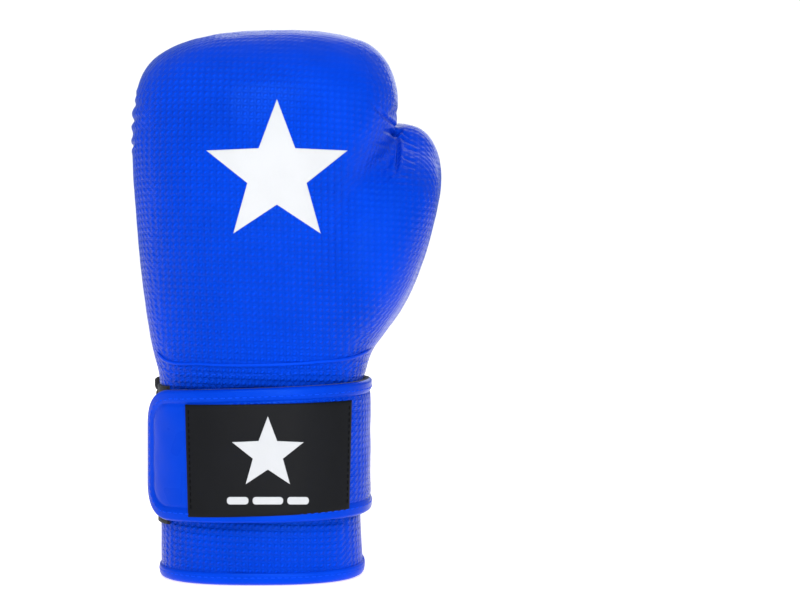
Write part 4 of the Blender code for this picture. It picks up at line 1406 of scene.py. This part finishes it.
def bar_outline(width, height):
    """Outline of a bar with rounded ends in (x, z) about its middle."""
    r = height * 0.42
    out = []
    for cx, cz, start in ((width / 2 - r, height / 2 - r, 0), (-width / 2 + r, height / 2 - r, 90),
                          (-width / 2 + r, -height / 2 + r, 180), (width / 2 - r, -height / 2 + r, 270)):
        for k in range(7):
            a = math.radians(start + 15 * k)
            out.append((cx + r * math.cos(a), cz + r * math.sin(a)))
    dense = []
    for p, q in zip(out, out[1:] + out[:1]):
        steps = max(1, int(math.hypot(q[0] - p[0], q[1] - p[1]) / 2.5))
        dense += [(p[0] + (q[0] - p[0]) * k / steps, p[1] + (q[1] - p[1]) * k / steps) for k in range(steps)]
    return np.array(dense)


prints = [printed("label_star", star(21.0), on_label(1.8, 63.9), 0.25)]
for k, (x, width) in enumerate(((-15.0, 12.0), (1.8, 17.0), (18.6, 12.0))):
    prints.append(printed(f"label_bar_{k}", bar_outline(width, 4.2), on_label(x, 37.7), 0.25, 4))
label_print = remember(join("label_print", prints), 0.0)

rows = []
for u in (0.022, 0.978):
    points = [tuple(label_point(u, v)) for v in np.linspace(0.03, 0.97, 40)]
    place = np.array([strap_at(r, z, LABEL_LIFT + 0.42) for r, z in points])
    normal = np.array([strap_normal(r) for r, _ in points])
    rows.append(stitches(f"label_stitches_{u}", place, normal, BLACK_THREAD, 3.3, 2.3, 0.8, 0.5))
label_stitches = remember(join("label_stitches", rows), 0.0)

# ------------------------------------------------------------------ inside
HALF = ((0, 50.5), (104, 50), (130, 44.5), (200, 43), (226, 41), (243, 34), (251, 23), (255, 9), (256, 1))
IN_BACK = ((0, -33), (104, -32.5), (150, -24), (200, -17), (230, -15), (247, -11), (254, -6), (256, -4))
IN_PALM = ((0, 31), (104, 30), (150, 26), (200, 25), (230, 23), (247, 13), (254, 2), (256, -3.5))
POCKET_SIDES = 96


def pocket(z, depth):
    """Ring of the hand pocket at a height, drawn in by a depth. Its top leans towards the palm."""
    shift = 11 * max(0.0, (z - 206) / 50) ** 2
    c, s = superellipse(POCKET_SIDES, 0.8)
    back, palm = SEAM_Y - along(IN_BACK, z) - depth, along(IN_PALM, z) - SEAM_Y - depth
    x = -0.5 + (along(HALF, z) - depth) * c
    return np.stack([x, SEAM_Y + np.where(s < 0, back, palm) * s + shift, np.full_like(x, z)], axis=1)


def close_and_face_outwards(bm):
    bmesh.ops.holes_fill(bm, edges=[e for e in bm.edges if e.is_boundary], sides=0)
    face_outwards(bm)


levels = np.concatenate([np.linspace(100, 240, 44), np.linspace(243, 254.5, 8)])
outside = [pocket(z, 0) for z in levels]
inside = [pocket(z, 1.0) for z in levels]
faces = grid_faces(2 * len(levels), POCKET_SIDES, wrap_cols=True)
lining = make("hand_lining", outside + inside[::-1], faces, [LINING])
edited(lining, close_and_face_outwards)
co = coords(lining)
lift = 0.5 * waves(co, 24, 31) * ease(CUFF_TOP, 116, co[:, 2])
set_coords(lining, co + normals(lining) * lift[:, None])
remember(lining, 0.0)

# ------------------------------------------------------------------ what each piece rides on
mitt_trims, thumb_trims = join("mitt_trims", trims["mitt"]), join("thumb_trims", trims["thumb"])
HAND = ("back_panel", "knuckle_foam_outer", "knuckle_foam_inner", "back_hand_foam", "pinky_side_foam",
        "thumb_side_foam", "fist_roll_panel", "fist_roll_foam", "palm_panel", "palm_foam",
        "slit_stop_patch", "wrist_yoke", "wrist_yoke_foam")
THUMB = tuple(f"thumb_{a}_{b}" for a in ("back", "palm") for b in ("panel", "foam", "lining"))
for piece in (mitt_skin, mitt_trims, fist_star, cuff_back, hem_binding, lining, elastic):
    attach(piece, "mitt")
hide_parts(*HAND)
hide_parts("vent_eyelet_1", "vent_eyelet_2")
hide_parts("thumb_tether")
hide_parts("cuff_back_panel", "cuff_back_foam", "cuff_back_lining")
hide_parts("hem_binding_back")
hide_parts("strap_elastic")
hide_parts("hand_lining_back", "hand_lining_palm", "finger_lining", "thumb_passage_sleeve")
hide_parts(*THUMB)


for piece in (thumb_skin, thumb_trims):
    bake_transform(piece)
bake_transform(thumb_lock)
for title in ("pinky", "thumb"):
    body = f"cuff_flap_{title}"
    edge = join(f"flap_binding_of_{title}", flap_tapes[title])
    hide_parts(f"{body}_panel", f"{body}_foam", f"{body}_lining")
    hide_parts(f"flap_binding_{title}")
    for piece in (flaps[title], edge):
        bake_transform(piece)
for piece in (strap, strap_stitches):
    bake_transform(piece)
for piece in (label, label_print, label_stitches):
    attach(piece, "strap_tab")
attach(anchor, "strap_base")
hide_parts("strap_base_cover", "strap_base_lining", "strap_base_binding_top",
            "strap_base_binding_bottom", "strap_tab_binding", "strap_tab_cover", "strap_tab_lining")
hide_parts("strap_label")

for name, mat in (("grip_bar", RIGID_LINING), ("slit_gusset", ELASTIC),
                  ("strap_loop_patch", TAPE), ("strap_hook_patch", TAPE)):
    nodes[name].data.materials.clear()
    nodes[name].data.materials.append(mat)

# ------------------------------------------------------------------ stage, light and camera
FLOOR_SIZE, FLOOR_DROP = 6.0, 0.0015  # metres from the middle, and below the glove


def make_floor():
    """A light table, white again under the cool light."""
    n = Nodes("pale_floor")
    n.colored(n.noise(n.place(rigid=True), 3.0, 2.0), 0.3, 0.7, (0.93, 0.93, 0.93), (0.96, 0.96, 0.96))
    n.fixed({"Roughness": 0.7, "Specular IOR Level": 0.2})
    n.fixed({"Emission Color": (1.0, 0.86, 0.77, 1), "Emission Strength": 0.78})
    mesh = bpy.data.meshes.new("floor")
    corners = [(x * FLOOR_SIZE, y * FLOOR_SIZE, 0) for x, y in ((-1, -1), (1, -1), (1, 1), (-1, 1))]
    mesh.from_pydata(corners, [], [(0, 1, 2, 3)])
    mesh.materials.append(n.mat)
    made = bpy.data.objects.new("floor", mesh)
    made.location = (0, 0, -FLOOR_DROP)
    bpy.context.scene.collection.objects.link(made)
    return made


floor = make_floor()


def area(name, place, target, size, power):
    light = bpy.data.lights.new(name, "AREA")
    light.shape, light.size, light.energy = "SQUARE", size, power
    made = bpy.data.objects.new(name, light)
    made.location = place
    made.rotation_euler = (Vector(target) - Vector(place)).to_track_quat("-Z", "Y").to_euler()
    bpy.context.scene.collection.objects.link(made)


area("key", (-0.1, -1.6, 1.3), (0, 0, 0.17), 0.7, 19)
area("fill", (1.4, -1.3, 0.8), (0, 0, 0.15), 1.0, 3.5)
area("low", (0.2, -1.3, 0.16), (0, 0, 0.17), 0.45, 5.5)
area("back", (0.3, 1.7, 1.2), (0, 0, 0.15), 1.5, 10)


def make_world():
    """White to look at, dimmer and cooler as a light."""
    made = bpy.data.worlds.new("studio")
    made.use_nodes = True
    tree = made.node_tree
    light_path = tree.nodes.new("ShaderNodeLightPath")
    wall = tree.nodes.new("ShaderNodeMix")
    wall.data_type = "RGBA"
    wall.inputs[6].default_value = (0.33, 0.43, 0.51, 1)
    wall.inputs[7].default_value = (1.06, 1.06, 1.06, 1)
    tree.links.new(light_path.outputs["Is Camera Ray"], wall.inputs[0])
    tree.links.new(wall.outputs[2], tree.nodes["Background"].inputs[0])
    return made


bpy.context.scene.world = make_world()
bpy.context.scene.view_settings.view_transform = "Standard"

camera_data = bpy.data.cameras.new("camera")
camera = bpy.data.objects.new("camera", camera_data)
bpy.context.scene.collection.objects.link(camera)
bpy.context.scene.camera = camera
camera.location = Vector(to_metres(CAMERA))
camera.rotation_euler = (math.pi / 2, 0, 0)
camera_data.sensor_width = SENSOR
camera_data.lens = SENSOR * (-CAMERA[1]) / FRAME_WIDTH
camera_data.clip_start, camera_data.clip_end = 0.05, 20
